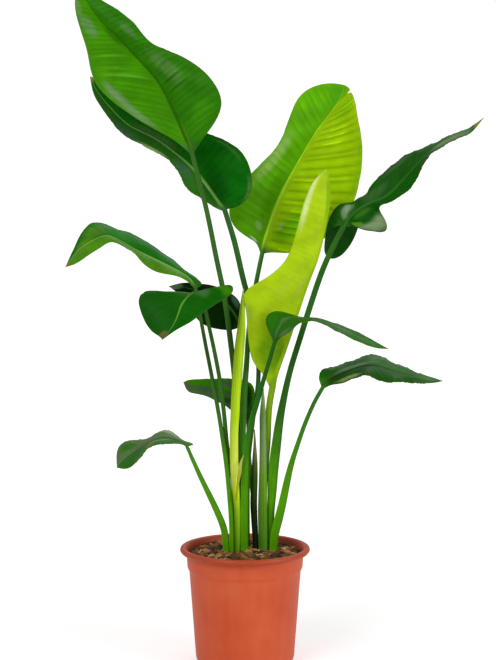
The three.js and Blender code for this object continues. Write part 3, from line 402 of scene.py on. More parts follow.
# Free tips of sheaths that clasp the next stalk: [left, right, up, back] from the tip down,
# and the colours of the tip and the foot.
FLAPS = {
    "leaf_mid_right": (
        ((-2.8, -2.2, 333, -24), (-7.1, -4.0, 324, -24.2), (-10, -4.8, 317, -24.4),
         (-11.4, -5.6, 306, -24.6), (-12.6, -8.0, 294, -24.6), (-13.6, -9.9, 284, -24.4),
         (-14.8, -11.5, 272, -24), (-15.6, -13.5, 258, -23.2)),
        "#c8c864", "#a0b414"),
}
FLAP_THICKNESS = 0.7

# Sizes of the blades, in millimetres. The slant is how far a vein runs towards the tip for
# each millimetre that it runs towards the margin.
VEIN_SPACING = 2.4
VEIN_SLANT = 0.55
PLEAT_SPACING = 10.5
HEM_WAVE, CRINKLE_WAVE, BROAD_WAVE = 46, 11, 90
BROAD_HEIGHT = 0.8
CLOUD_LENGTH, GLINT_LENGTH = 70, 60
FULL_BREADTH = 30
BLADE_HALF = 0.3
TIP_HALF = 0.5
SKIN_GAP = 0.02
NECK_LENGTH = 22
OFF_THE_EDGE = 9.0

# Rows and columns of the leaves' grids. A face covers almost half the turn round its stalk,
# and the columns of a blade crowd towards its rib.
ROW_SPACING, STALK_ROW_SPACING, STEM_ROW_SPACING = 1.5, 5.0, 2.5
FEWEST_ROWS, MOST_ROWS = 70, 260
HALF_COLUMNS, STEM_COLUMNS = 26, 25
HALF_TURN = 0.97
CROWDING = 1.55

# Stripes round the stalks and stems, and where round the rolled leaf its free margin starts.
STALK_VEINS, STEM_VEINS = 4.5, 5.0
STRIPE_SPACING = 2.1
SEAM_START = 2.2

# Sizes of the pot and of the mix in it, in millimetres, as in the frame.
POT_HEIGHT = 190.0
LIP_RADIUS = 106.5
LIP_DROP = 9.0
COLLAR_TOP = (96.0, 181.0)
COLLAR_BOTTOM = (94.5, 157.0)
SHOULDER = (92.0, 152.5)
HEEL = (80.5, 9.0)
FOOT_RADIUS = 76.0
POT_WALL = 2.2
POT_FLOOR = 3.0
DRAIN_RADIUS = 5.0
DRAIN_CIRCLE = 52.0
DRAIN_HOLES = 6
CORNER_RADIUS = 1.6
MIX_BOTTOM = 3.6
MIX_CLEARANCE = 0.5
STREWN_RADIUS = 86.0

# Sides and rings of the turned bodies, and how pale the mix is under its chips: dark, partly as
# painted shade in the gaps between the chips.
POT_SIDES, MIX_SIDES, HOLE_SIDES = 144, 150, 24
MIX_RINGS = 46
MIX_TINT = 0.06

# Height of the picture at the pot's axis and of the camera's sensor, in millimetres.
FRAME_HEIGHT = 1072.5
SENSOR_HEIGHT = 36.0


def linear(hex_colour):
    """An sRGB hex colour as linear red, green and blue."""
    values = [int(hex_colour[i:i + 2], 16) / 255 for i in (1, 3, 5)]
    return tuple(v / 12.92 if v <= 0.04045 else ((v + 0.055) / 1.055) ** 2.4 for v in values)


def mixed(first, second, share):
    """From first to second by share. Colours may be given in hex."""
    first, second = (np.array(linear(c)) if isinstance(c, str) else c for c in (first, second))
    return first * (1 - share) + second * share


def ramp(value, low, high):
    """0 below low, 1 above high, and smooth between."""
    share = np.clip((value - low) / (high - low), 0, 1)
    return share * share * (3 - 2 * share)


def ripple(place, length, seed):
    """An uneven wave about as long as length, between -1 and 1."""
    draw = np.random.default_rng(seed)
    waves = [np.sin(2 * np.pi * (place / (length * stretch) + draw.uniform()))
             for stretch in (1.0, 0.63, 1.71)]
    return sum(waves) / len(waves)


def pleated(phase, spacing, seed):
    """Broad ridges between sharp creases at uneven places, 0 in a crease and up to 1 on top,
    and the narrow glints, painted highlights, that some of the ridges carry on one flank."""
    draw = np.random.default_rng(seed)
    creases = np.cumsum(spacing * draw.uniform(0.6, 1.4, 120)) - 20 * spacing
    heights = draw.uniform(0.55, 1.0, len(creases))
    glints = draw.uniform(0, 1, len(creases)) > 0.55
    place = np.interp(phase, creases, np.arange(len(creases)))
    number, share = place.astype(int), place % 1
    glint = glints[number] * np.exp(-((share - 0.3) / 0.09) ** 2)
    return heights[number] * np.sin(np.pi * share) ** 0.7, glint


def unit(vectors):
    """The vectors, each with a length of 1."""
    return vectors / np.maximum(np.linalg.norm(vectors, axis=-1, keepdims=True), 1e-9)


def run_of(points):
    """How far each point of a row lies from its start, along the row."""
    return np.concatenate([[0], np.linalg.norm(np.diff(points, axis=0), axis=1).cumsum()])


def seen(points):
    """Points given as [across, up, back], put in their places on their lines of sight."""
    points = np.atleast_2d(np.asarray(points, float))
    plane = AIM + (points[:, 1:2] + PLANE_FOOT - AIM[2]) * SIGHT_UP
    plane[:, 0] = points[:, 0]
    reach = (points[:, 2] - EYE[1]) / (plane[:, 1] - EYE[1])
    return EYE + reach[:, None] * (plane - EYE)


def curve_at(points, places):
    """Points of the centripetal curve through the given ones; place 1.5 is half-way from the
    second to the third."""
    points = np.asarray(points, float)
    padded = np.vstack([2 * points[0] - points[1], points, 2 * points[-1] - points[-2]])
    start = np.clip(np.floor(places).astype(int), 0, len(points) - 2)
    share = (places - start)[:, None]
    p0, p1, p2, p3 = (padded[start + k] for k in range(4))

    def gap(a, b):
        return np.maximum(np.linalg.norm(b - a, axis=1), 1e-6)[:, None] ** 0.5

    g0, g1, g2 = gap(p0, p1), gap(p1, p2), gap(p2, p3)
    m1 = g1 * ((p1 - p0) / g0 - (p2 - p0) / (g0 + g1) + (p2 - p1) / g1)
    m2 = g1 * ((p2 - p1) / g1 - (p3 - p1) / (g1 + g2) + (p3 - p2) / g2)
    return (p1 + m1 * share + (-3 * p1 + 3 * p2 - 2 * m1 - m2) * share ** 2
            + (2 * p1 - 2 * p2 + m1 + m2) * share ** 3)


def softened(rows, sigma):
    """Smooths a grid of points from row to row, and keeps its first and last row."""
    reach = int(3 * sigma) + 1
    weights = np.exp(-0.5 * (np.arange(-reach, reach + 1) / sigma) ** 2)
    weights /= weights.sum()
    before = 2 * rows[:1] - rows[reach:0:-1]
    after = 2 * rows[-1:] - rows[-2:-reach - 2:-1]
    longer = np.concatenate([before, rows, after])
    return sum(w * longer[k:k + len(rows)] for k, w in enumerate(weights))


def stalk_frames(axis):
    """The side and front directions along a stalk, turned no more than its bends need."""
    ahead = unit(np.gradient(axis, axis=0))
    side = np.array((1.0, 0.0, 0.0))
    sides = []
    for direction in ahead:
        side = side - direction * (side @ direction)
        side /= np.linalg.norm(side)
        sides.append(side)
    sides = np.array(sides)
    return sides, np.cross(sides, ahead)


def stalk_line(stem, spacing):
    """A stalk's smooth middle line and its widths and thicknesses, foot first."""
    x, y, width, thickness = stem["foot"]
    points = np.vstack([[x, y, POCKET_FLOOR], [x, y, SOIL_TOP + 10], seen(stem["stalk"])])
    sizes = np.array([[width, thickness]] * 2 + [point[3:] for point in stem["stalk"]], float)
    count = int(run_of(points)[-1] / spacing)
    fine = np.linspace(0, len(points) - 1, 40 * len(points))
    travelled = run_of(curve_at(points, fine))
    places = np.interp(np.linspace(0, travelled[-1], count), travelled, fine)
    knots = np.arange(len(points))
    widths = np.stack([np.interp(places, knots, sizes[:, k]) for k in (0, 1)], 1)
    return softened(curve_at(points, places), 1.5), softened(widths, 2.0)


def loft(front, back):
    """Corners and faces of a closed skin over rows of front and back points."""
    rows, columns = front.shape[:2]
    corners = np.concatenate([front, back], axis=1).reshape(-1, 3)
    ids = np.arange(rows * 2 * columns).reshape(rows, 2 * columns)
    f, b = ids[:, :columns], ids[:, columns:]
    loops = (
        (f[:-1, :-1], f[:-1, 1:], f[1:, 1:], f[1:, :-1]),
        (b[:-1, :-1], b[1:, :-1], b[1:, 1:], b[:-1, 1:]),
        (f[:-1, 0], f[1:, 0], b[1:, 0], b[:-1, 0]),
        (f[:-1, -1], b[:-1, -1], b[1:, -1], f[1:, -1]),
        (f[0, :-1], b[0, :-1], b[0, 1:], f[0, 1:]),
        (f[-1, :-1], f[-1, 1:], b[-1, 1:], b[-1, :-1]),
    )
    return corners, np.concatenate([np.stack(loop, -1).reshape(-1, 4) for loop in loops])


def mesh_piece(name, corners, faces, material, sharp=math.radians(60)):
    """A new object in metres from corners in millimetres."""
    mesh = bpy.data.meshes.new(name)
    faces = faces if isinstance(faces, list) else faces.tolist()
    mesh.from_pydata((np.asarray(corners) * MM).tolist(), [], faces)
    mesh.validate()
    mesh.shade_smooth()
    mesh.set_sharp_from_angle(angle=sharp)
    mesh.materials.append(material)
    piece = bpy.data.objects.new(name, mesh)
    bpy.context.scene.collection.objects.link(piece)
    return piece


def add_values(piece, name, values):
    """Stores a number or a colour for each corner."""
    values = np.asarray(values, np.float32)
    if values.ndim == 1:
        layer = piece.data.attributes.new(name, "FLOAT", "POINT")
        layer.data.foreach_set("value", values)
    else:
        layer = piece.data.color_attributes.new(name, "FLOAT_COLOR", "POINT")
        layer.data.foreach_set("color", np.c_[values, np.ones(len(values))].ravel())


def settle(piece):
    """Turns the result of a piece's modifiers into its plain mesh."""
    graph = bpy.context.evaluated_depsgraph_get()
    mesh = bpy.data.meshes.new_from_object(piece.evaluated_get(graph))
    piece.modifiers.clear()
    piece.data = mesh


def fill_sockets(tree, node, links):
    """Gives a node's sockets, by name or number, a link from another socket or a value."""
    for socket, value in links.items():
        if isinstance(value, bpy.types.NodeSocket):
            tree.links.new(value, node.inputs[socket])
        else:
            node.inputs[socket].default_value = value


def add_node(tree, kind, settings=None, links=None):
    """A node of that kind, with its settings by name and links or values by socket."""
    node = tree.nodes.new(kind)
    for key, value in (settings or {}).items():
        setattr(node, key, value)
    fill_sockets(tree, node, links or {})
    return node


def new_material(name):
    """A bare material, its tree, its principled shader and the place on the piece."""
    material = bpy.data.materials.new(name)
    material.use_nodes = True
    tree = material.node_tree
    tree.nodes.clear()
    shader = add_node(tree, "ShaderNodeBsdfPrincipled")
    add_node(tree, "ShaderNodeOutputMaterial", links={"Surface": shader.outputs[0]})
    place = add_node(tree, "ShaderNodeTexCoord").outputs["Object"]
    return material, tree, shader, place


def leaf_tissue():
    """Living leaf: a waxy, finely veined skin over green tissue. The wax gives a broad satin
    sheen, the veins run as fine parallel lines from the rib to the margin, and the margin is
    a thin dry line."""
    material, tree, shader, place = new_material("waxy_leaf_tissue")
    skin, vein, edge = (
        add_node(tree, "ShaderNodeAttribute", {"attribute_name": layer}).outputs[output]
        for layer, output in (("skin", "Color"), ("vein", "Fac"), ("edge", "Fac")))
    # Real veins lie about 0.8 mm apart; every third is drawn, so that they show.
    turn = add_node(tree, "ShaderNodeMath", {"operation": "MULTIPLY"},
                    {0: vein, 1: 2 * math.pi / VEIN_SPACING}).outputs[0]
    wave = add_node(tree, "ShaderNodeMath", {"operation": "SINE"}, {0: turn}).outputs[0]
    line = add_node(tree, "ShaderNodeMapRange", {"interpolation_type": "SMOOTHSTEP"},
                    {0: wave, 1: 0.1, 2: 1.0, 3: 0.0, 4: 1.0}).outputs[0]
    # The tissue is mottled in clouds of about 26 mm.
    mottle = add_node(tree, "ShaderNodeTexNoise", {},
                      {"Vector": place, "Scale": 38.0, "Detail": 4.0}).outputs[0]
    shade = add_node(tree, "ShaderNodeMapRange", {},
                     {0: mottle, 1: 0.3, 2: 0.7, 3: 0.86, 4: 1.08}).outputs[0]
    lit = add_node(tree, "ShaderNodeMath", {"operation": "MULTIPLY_ADD"},
                   {0: line, 1: 0.16, 2: shade}).outputs[0]
    veined = add_node(tree, "ShaderNodeVectorMath", {"operation": "SCALE"},
                      {0: skin, "Scale": lit}).outputs[0]
    dry = add_node(tree, "ShaderNodeMapRange", {"interpolation_type": "SMOOTHSTEP"},
                   {0: edge, 1: 0.3, 2: 1.1, 3: 0.6, 4: 0.0}).outputs[0]
    dried = add_node(tree, "ShaderNodeMix", {"data_type": "RGBA"},
                     {"Factor": dry, "A": veined, "B": (*linear(MARGIN), 1)}).outputs["Result"]
    gloss = add_node(tree, "ShaderNodeMapRange", {},
                     {0: mottle, 1: 0.3, 2: 0.7, 3: 0.30, 4: 0.42}).outputs[0]
    # The skin's grain is 2.4 mm, coarser than the real one, so that it shows.
    grain = add_node(tree, "ShaderNodeTexNoise", {},
                     {"Vector": place, "Scale": 420.0, "Detail": 2.0}).outputs[0]
    relief = add_node(tree, "ShaderNodeMath", {"operation": "MULTIPLY_ADD"},
                      {0: grain, 1: 0.35, 2: line}).outputs[0]
    bump = add_node(tree, "ShaderNodeBump", {},
                    {"Strength": 0.35, "Distance": 0.0004, "Height": relief})
    fill_sockets(tree, shader, {"Base Color": dried, "Roughness": gloss, "IOR": 1.15,
                                "Normal": bump.outputs[0]})
    return material


def striped_stem(name, roughness, contrast):
    """Leaf sheath: smooth fibrous tissue with fine lengthwise stripes, waxy while it lives
    and dull where it has dried."""
    material, tree, shader, place = new_material(name)
    skin, vein = (
        add_node(tree, "ShaderNodeAttribute", {"attribute_name": layer}).outputs[output]
        for layer, output in (("skin", "Color"), ("vein", "Fac")))
    turn = add_node(tree, "ShaderNodeMath", {"operation": "MULTIPLY"},
                    {0: vein, 1: 2 * math.pi / STRIPE_SPACING}).outputs[0]
    wave = add_node(tree, "ShaderNodeMath", {"operation": "SINE"}, {0: turn}).outputs[0]
    # The fibres lie in streaks about 6 mm broad and 70 mm long.
    stretched = add_node(tree, "ShaderNodeMapping", {},
                         {"Vector": place, "Scale": (160.0, 160.0, 14.0)}).outputs[0]
    blotch = add_node(tree, "ShaderNodeTexNoise", {},
                      {"Vector": stretched, "Scale": 1.0, "Detail": 3.0}).outputs[0]
    both = add_node(tree, "ShaderNodeMath", {"operation": "MULTIPLY_ADD"},
                    {0: wave, 1: 0.18, 2: blotch}).outputs[0]
    line = add_node(tree, "ShaderNodeMapRange", {"interpolation_type": "SMOOTHSTEP"},
                    {0: both, 1: 0.42, 2: 0.72, 3: 1.0, 4: 1.0 - contrast}).outputs[0]
    striped = add_node(tree, "ShaderNodeVectorMath", {"operation": "SCALE"},
                       {0: skin, "Scale": line}).outputs[0]
    bump = add_node(tree, "ShaderNodeBump", {},
                    {"Strength": 0.3, "Distance": 0.0004, "Height": both})
    fill_sockets(tree, shader, {"Base Color": striped, "Roughness": roughness, "IOR": 1.25,
                                "Normal": bump.outputs[0]})
    return material


def moulded_plastic(pot):
    """Polypropylene, injection moulded: an even terracotta colour with a satin skin, faint
    flow marks up the wall, painted shade on the lip and the inner wall, and fine dust on it."""
    material, tree, shader, place = new_material("moulded_polypropylene")
    # Flow marks about 17 mm broad and 200 mm high run over clouds of about 70 mm.
    stretched = add_node(tree, "ShaderNodeMapping", {},
                         {"Vector": place, "Scale": (60.0, 60.0, 5.0)}).outputs[0]
    flow = add_node(tree, "ShaderNodeTexNoise", {},
                    {"Vector": stretched, "Scale": 1.0, "Detail": 3.0}).outputs[0]
    cloud = add_node(tree, "ShaderNodeTexNoise", {},
                     {"Vector": place, "Scale": 14.0, "Detail": 3.0}).outputs[0]
    marks = add_node(tree, "ShaderNodeMath", {"operation": "MULTIPLY_ADD"},
                     {0: flow, 1: 0.5, 2: cloud}).outputs[0]
    share = add_node(tree, "ShaderNodeMapRange", {},
                     {0: marks, 1: 0.55, 2: 0.95, 3: 0.0, 4: 1.0}).outputs[0]
    wall = add_node(tree, "ShaderNodeMix", {"data_type": "RGBA"},
                    {"Factor": share, "A": (*pot.wall_dark, 1), "B": (*pot.wall_light, 1)}
                    ).outputs["Result"]
    height = add_node(tree, "ShaderNodeSeparateXYZ", {}, {"Vector": place}).outputs["Z"]
    # Dust lies in specks of up to 6 mm, most of it on the lip.
    dusty = add_node(tree, "ShaderNodeTexNoise", {},
                     {"Vector": place, "Scale": 160.0, "Detail": 5.0}).outputs[0]
    specks = add_node(tree, "ShaderNodeMapRange", {"interpolation_type": "SMOOTHSTEP"},
                      {0: dusty, 1: 0.66, 2: 0.74, 3: 0.0, 4: 0.5}).outputs[0]
    near_lip = add_node(tree, "ShaderNodeMapRange", {"interpolation_type": "SMOOTHSTEP"},
                        {0: height, 1: 0.17, 2: 0.188, 3: 0.15, 4: 1.0}).outputs[0]
    dust = add_node(tree, "ShaderNodeMath", {"operation": "MULTIPLY"},
                    {0: specks, 1: near_lip}).outputs[0]
    # Painted shade: the lip and the inner wall above the mix are painted darker, from 177 mm up.
    painted_lip_shade = add_node(tree, "ShaderNodeMapRange", {"interpolation_type": "SMOOTHSTEP"},
                       {0: height, 1: 0.177, 2: 0.184, 3: 0.0, 4: 0.6}).outputs[0]
    lip_shaded = add_node(tree, "ShaderNodeMix", {"data_type": "RGBA"},
                       {"Factor": painted_lip_shade, "A": wall, "B": (*linear(LIP_PAINTED_SHADE), 1)}
                       ).outputs["Result"]
    soiled = add_node(tree, "ShaderNodeMix", {"data_type": "RGBA"},
                      {"Factor": dust, "A": lip_shaded, "B": (*linear(PALE_DUST), 1)}
                      ).outputs["Result"]
    gloss = add_node(tree, "ShaderNodeMapRange", {},
                     {0: marks, 1: 0.5, 2: 1.0, 3: 0.34, 4: 0.46}).outputs[0]
    # The mould's texture is 1.1 mm, coarser than the real one, so that it shows.
    skin = add_node(tree, "ShaderNodeTexNoise", {},
                    {"Vector": place, "Scale": 900.0, "Detail": 2.0}).outputs[0]
    bump = add_node(tree, "ShaderNodeBump", {},
                    {"Strength": 0.12, "Distance": 0.0003, "Height": skin})
    fill_sockets(tree, shader, {"Base Color": soiled, "Roughness": gloss, "IOR": 1.49,
                                "Specular IOR Level": 0.3, "Normal": bump.outputs[0]})
    return material


def bark_and_peat():
    """Composted bark and peat: torn brown fibre and flakes, dull all over, with the odd pale
    chip of fresh wood."""
    material, tree, shader, place = new_material("bark_and_peat")
    tint = add_node(tree, "ShaderNodeAttribute", {"attribute_name": "chip_tint"}).outputs["Fac"]
    # The crumbs of bark and peat are about 4 mm.
    grain = add_node(tree, "ShaderNodeTexNoise", {},
                     {"Vector": place, "Scale": 260.0, "Detail": 5.0, "Roughness": 0.65}
                     ).outputs[0]
    total = add_node(tree, "ShaderNodeMath", {"operation": "MULTIPLY_ADD"},
                     {0: grain, 1: 0.55, 2: tint}).outputs[0]
    colours = add_node(tree, "ShaderNodeValToRGB", {}, {"Fac": total})
    stops = colours.color_ramp.elements
    # The darkest stop is partly painted shade in the gaps between the chips.
    stops[0].position, stops[0].color = 0.16, (*linear("#180e04"), 1)
    stops[1].position, stops[1].color = 0.96, (*linear("#dcb884"), 1)
    for position, colour in ((0.42, "#402408"), (0.62, "#744818"), (0.82, "#a8783c")):
        stops.new(position).color = (*linear(colour), 1)
    bump = add_node(tree, "ShaderNodeBump", {},
                    {"Strength": 0.9, "Distance": 0.0009, "Height": grain})
    fill_sockets(tree, shader, {"Base Color": colours.outputs[0], "Roughness": 0.9,
                                "Normal": bump.outputs[0]})
    return material


def studio_paper(glow):
    """Seamless backdrop paper, matt and white. Its own light shows only to the camera, as on
    paper that is lit apart from the plant in front of it, and grows away from the plant."""
    material, tree, shader, place = new_material("backdrop_paper")
    distance = add_node(tree, "ShaderNodeVectorMath", {"operation": "LENGTH"},
                        {0: place}).outputs["Value"]
    spread = add_node(tree, "ShaderNodeMapRange", {},
                      {0: distance, 1: 0.4, 2: 2.6, 3: glow, 4: glow + 0.26}).outputs[0]
    seen_directly = add_node(tree, "ShaderNodeLightPath").outputs["Is Camera Ray"]
    power = add_node(tree, "ShaderNodeMath", {"operation": "MULTIPLY"},
                     {0: seen_directly, 1: spread}).outputs[0]
    fill_sockets(tree, shader, {
        "Base Color": (0.85, 0.85, 0.85, 1), "Roughness": 1.0, "Specular IOR Level": 0.1,
        "Emission Color": (1, 1, 1, 1), "Emission Strength": power})
    return material


def leaf_rails(leaf, look, base, side, half):
    """Rows along a blade, evenly spaced: its left margin, rib and right margin, the middles
    of its two halves, and how far each row lies from the base."""
    tip = seen(leaf["tip"])[0]

    def rail(key, start):
        return np.vstack([start, seen(leaf[key]), tip])

    rails = [rail(key, base + side * half * place)
             for key, place in (("left", -1), ("rib", 0), ("right", 1))]
    knots = len(rails[1])
    fine = np.linspace(0, knots - 1, 24 * knots)
    travelled = np.mean([run_of(curve_at(r, fine)) for r in rails], axis=0)
    count = int(np.clip(travelled[-1] / ROW_SPACING, FEWEST_ROWS, MOST_ROWS))
    places = np.interp(np.linspace(0, travelled[-1], count), travelled, fine)
    sigma = 0.3 * count / knots
    left, rib, right = (softened(curve_at(r, places), sigma) for r in rails)
    length = run_of(rib)
    for key, place, depth, breadth in look.get("nicks", ()):
        margin = left if key == "left" else right
        torn = depth * np.exp(-((length - place * length[-1]) / breadth) ** 2)
        margin += unit(rib - margin) * torn[:, None]
    end_side = unit(left[-4] - right[-4])
    left[-1] += end_side * TIP_HALF
    right[-1] -= end_side * TIP_HALF
    outward = unit(np.cross(right - left, unit(np.gradient(rib, axis=0))))

    def middle(key, margin, start):
        reach = np.linalg.norm(margin - rib, axis=1)[:, None]
        plain = (margin + rib) / 2 + outward * leaf.get("crown", 0) * reach
        if key not in leaf:
            return plain
        fold = softened(curve_at(rail(key, start), places), sigma)
        fold[-1] = plain[-1]
        return fold

    folds = (middle("left_fold", left, base - side * half / 2),
             middle("right_fold", right, base + side * half / 2))
    return left, rib, right, folds, length


def leaf_rows(name, leaf, look, seed):
    """Grids of one open leaf: its front and back points, and what its colours need."""
    line, sizes = stalk_line(leaf, STALK_ROW_SPACING)
    sides, fronts = stalk_frames(line)
    half, stalk_depth = sizes[-1] / 2
    left, rib, right, folds, length = leaf_rails(leaf, look, line[-1], sides[-1], half)
    ahead = length[:, None]

    # Across the stalk the columns lie as on a rod, and across the blade closer to the rib.
    v = np.linspace(-1, 1, 2 * HALF_COLUMNS + 1)
    blend = ramp(ahead, 0, NECK_LENGTH)
    round_u = np.sin(np.abs(v) * np.pi / 2 * HALF_TURN)
    u = np.sign(v) * mixed(round_u, np.abs(v) ** CROWDING, blend)

    def halves(on_left, on_right, place=u):
        return np.where(place < 0, on_left, on_right)

    margin, fold = (halves(a[:, None], b[:, None], u[..., None]) for a, b in ((left, right), folds))
    share = np.abs(u)
    toward = share[..., None]
    grid = (rib[:, None] * (1 - toward) * (1 - 2 * toward) + fold * 4 * toward * (1 - toward)
            + margin * toward * (2 * toward - 1))
    across = np.linalg.norm(grid - rib[:, None], axis=2)
    normal = unit(np.cross(np.gradient(grid, axis=1), np.gradient(grid, axis=0)))
    normal = unit(mixed(fronts[-1], normal, blend[..., None]) + 1e-6)
    to_margin = np.linalg.norm(grid - margin, axis=2)
    wide = np.linalg.norm(margin - rib[:, None], axis=2)

    # The pleats, the margin's wave and crinkles, and the broad swells of the blade.
    phase = ahead - halves(*look.get("slants", (VEIN_SLANT, VEIN_SLANT))) * across
    fade = blend * ramp(length[-1] - ahead, 4, 40)
    body = ramp(across, 3, 14) * (1 - 0.6 * ramp(share, 0.75, 0.95)) * fade
    spacing = look.get("spacing", PLEAT_SPACING)
    ridge, glint = halves(pleated(phase, spacing, seed), pleated(phase, spacing, seed + 7))
    waves = halves(ripple(ahead, HEM_WAVE, seed + 3), ripple(ahead, HEM_WAVE, seed + 5))
    small = halves(ripple(ahead, CRINKLE_WAVE, seed + 4), ripple(ahead, CRINKLE_WAVE, seed + 6))
    reach = np.minimum(wide / FULL_BREADTH, 1) * fade
    hem = ramp(share, 0.45, 1) * look["wave"] * waves * reach
    frill = ramp(share, 0.72, 0.95) * look["crinkle"] * small * reach
    broad = BROAD_HEIGHT * ripple(ahead + across, BROAD_WAVE, seed + 11) * body
    grid = grid + normal * (look["pleat"] * (ridge - 0.5) * body + hem + frill + broad)[..., None]

    # The rib stands proud on one face and leaves a groove on the other.
    rib_half = half * (0.12 + 0.88 * (1 - ahead / length[-1]) ** 1.1)
    bulge = np.clip(1 - (across / rib_half) ** 2, 0, None) ** (0.5 + 0.9 * blend)
    proud = mixed(stalk_depth, 0.75 * rib_half, blend)
    groove = mixed(stalk_depth, -0.22 * rib_half, blend)
    thin = BLADE_HALF * blend * (0.55 + 0.45 * ramp(to_margin, 0, 2.5)) + SKIN_GAP
    front_depth, back_depth = (proud, groove) if leaf.get("rib_in_front") else (groove, proud)
    stalk_u = np.sign(v) * round_u
    middle = line[:-1, None] + sides[:-1, None] * (stalk_u * sizes[:-1, :1] / 2)[..., None]
    bow = np.sqrt(1 - stalk_u ** 2) * sizes[:-1, 1:] / 2 + SKIN_GAP
    arch = fronts[:-1, None] * bow[..., None]
    front = np.concatenate([middle + arch, grid + normal * (thin + front_depth * bulge)[..., None]])
    back = np.concatenate([middle - arch, grid - normal * (thin + back_depth * bulge)[..., None]])

    blade = blade_colours(PATCHES[name], look, length, u, across, wide, seed)
    # Painted light: a narrow painted highlight on one flank of some ridges, and each ridge painted
    # lighter than its crease, as painted highlight and painted shade of the pleats.
    glint = glint * ramp(ripple(across, GLINT_LENGTH, seed + 9), -0.2, 0.4)
    blade = blade * (1 + halves(*look["ridges"]) * (ridge - 0.55 + 1.1 * glint) * body)[..., None]
    on_rib = (1 - ramp(across, 0.7 * rib_half, 1.2 * rib_half))[..., None]
    pale = mixed(blade, UNDERSIDE, look.get("underside", 0.5))
    skins = [stalk_and_blade(look, line[:-1, 2], stalk_u, face, on_rib, blend[..., None])
             for face in (blade, pale)]
    stalk_shape = (len(line) - 1, len(v))
    vein = np.concatenate([np.broadcast_to(stalk_u * STALK_VEINS, stalk_shape),
                           mixed(stalk_u * STALK_VEINS, phase, blend)])
    edge = np.concatenate([np.full(stalk_shape, OFF_THE_EDGE),
                           to_margin + OFF_THE_EDGE * (1 - blend)])
    return front, back, skins, vein, edge


def blade_colours(patches, look, length, u, across, wide, seed):
    """Colour of each point of a blade: its two halves, their patches of painted sheen and painted
    shade, and its tip.
    """
    ahead = length[:, None]
    blade = mixed(look["left"], look["right"], ramp(u, -0.05, 0.05)[..., None])
    clouds = ripple(ahead + 0.6 * across, CLOUD_LENGTH, seed + 21)
    blade = blade * (1 + 0.08 * clouds)[..., None]
    for along, place, half_length, half_breadth, colour, strength in patches:
        slanted = np.where(u * place > 0, across - abs(place) * wide, 0)
        beyond = ahead - along * length[-1] - VEIN_SLANT * slanted
        off = np.abs(u - place) * wide
        weight = 1 - ramp(np.hypot(beyond / half_length, off / half_breadth), 0.35, 1)
        blade = mixed(blade, colour, strength * weight[..., None])
    return mixed(blade, look["tip"], ramp(ahead / length[-1], 0.955, 0.985)[..., None])


def stalk_and_blade(look, heights, stalk_u, blade, on_rib, blend):
    """Colours of one face of a leaf, from the sheath at its foot to its tip, with the stalk painted
    lighter on its left side and darker on its right, as painted light and shade.
    """
    stalk = mixed(SHEATH_GREEN, look["stalk"], ramp(heights, 260, 430)[:, None, None])
    # Painted light and shade: the stalk's left side painted lighter and its right side darker.
    painted_stalk_light = 1 + 0.45 * ramp(-stalk_u, 0.3, 0.9) - 0.22 * ramp(stalk_u, 0.3, 0.9)
    neck = np.array(linear(look["stalk"])) * painted_stalk_light[:, None]
    return np.concatenate([stalk * painted_stalk_light[:, None],
                           mixed(neck, mixed(blade, look["rib"], on_rib), blend)])


def flap(rows, tip_colour, foot_colour):
    """Corners, faces and colours of a sheath's free tip."""
    rows = curve_at(np.array(rows, float), np.linspace(0, len(rows) - 1, 40))
    columns = np.linspace(0, 1, 9)
    down = np.linspace(0, 1, len(rows))[:, None]
    back = rows[:, 3:] - 1.2 * np.sin(np.pi * columns) * (1 - (1 - down) ** 4)
    across = mixed(rows[:, :1], rows[:, 1:2], columns)
    points = np.stack([across, np.repeat(rows[:, 2:3], len(columns), axis=1), back], -1)
    grid = seen(points.reshape(-1, 3)).reshape(points.shape)
    depth = np.array((0, FLAP_THICKNESS / 2, 0))
    skin = np.repeat(mixed(tip_colour, foot_colour, down[..., None]), 2 * len(columns), axis=1)
    return *loft(grid - depth, grid + depth), skin.reshape(-1, 3)


def build_leaf(name, material, seed):
    """One open leaf with its stalk, as one piece."""
    front, back, skins, vein, edge = leaf_rows(name, LEAVES[name], LOOKS[name], seed)
    corners, faces = loft(front, back)
    skin = np.concatenate(skins, axis=1).reshape(-1, 3)
    vein, edge = (np.concatenate([rows, rows], axis=1).ravel() for rows in (vein, edge))
    if name in FLAPS:
        more, sides, colours = flap(*FLAPS[name])
        faces = np.concatenate([faces, sides + len(corners)])
        corners = np.concatenate([corners, more])
        skin = np.concatenate([skin, colours])
        vein = np.concatenate([vein, np.zeros(len(more))])
        edge = np.concatenate([edge, np.full(len(more), OFF_THE_EDGE)])
    piece = mesh_piece("foliage_" + name, corners, faces, material)
    for label, values in (("skin", skin), ("vein", vein), ("edge", edge)):
        add_values(piece, label, values)
    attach(piece, "root")
    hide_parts(name)


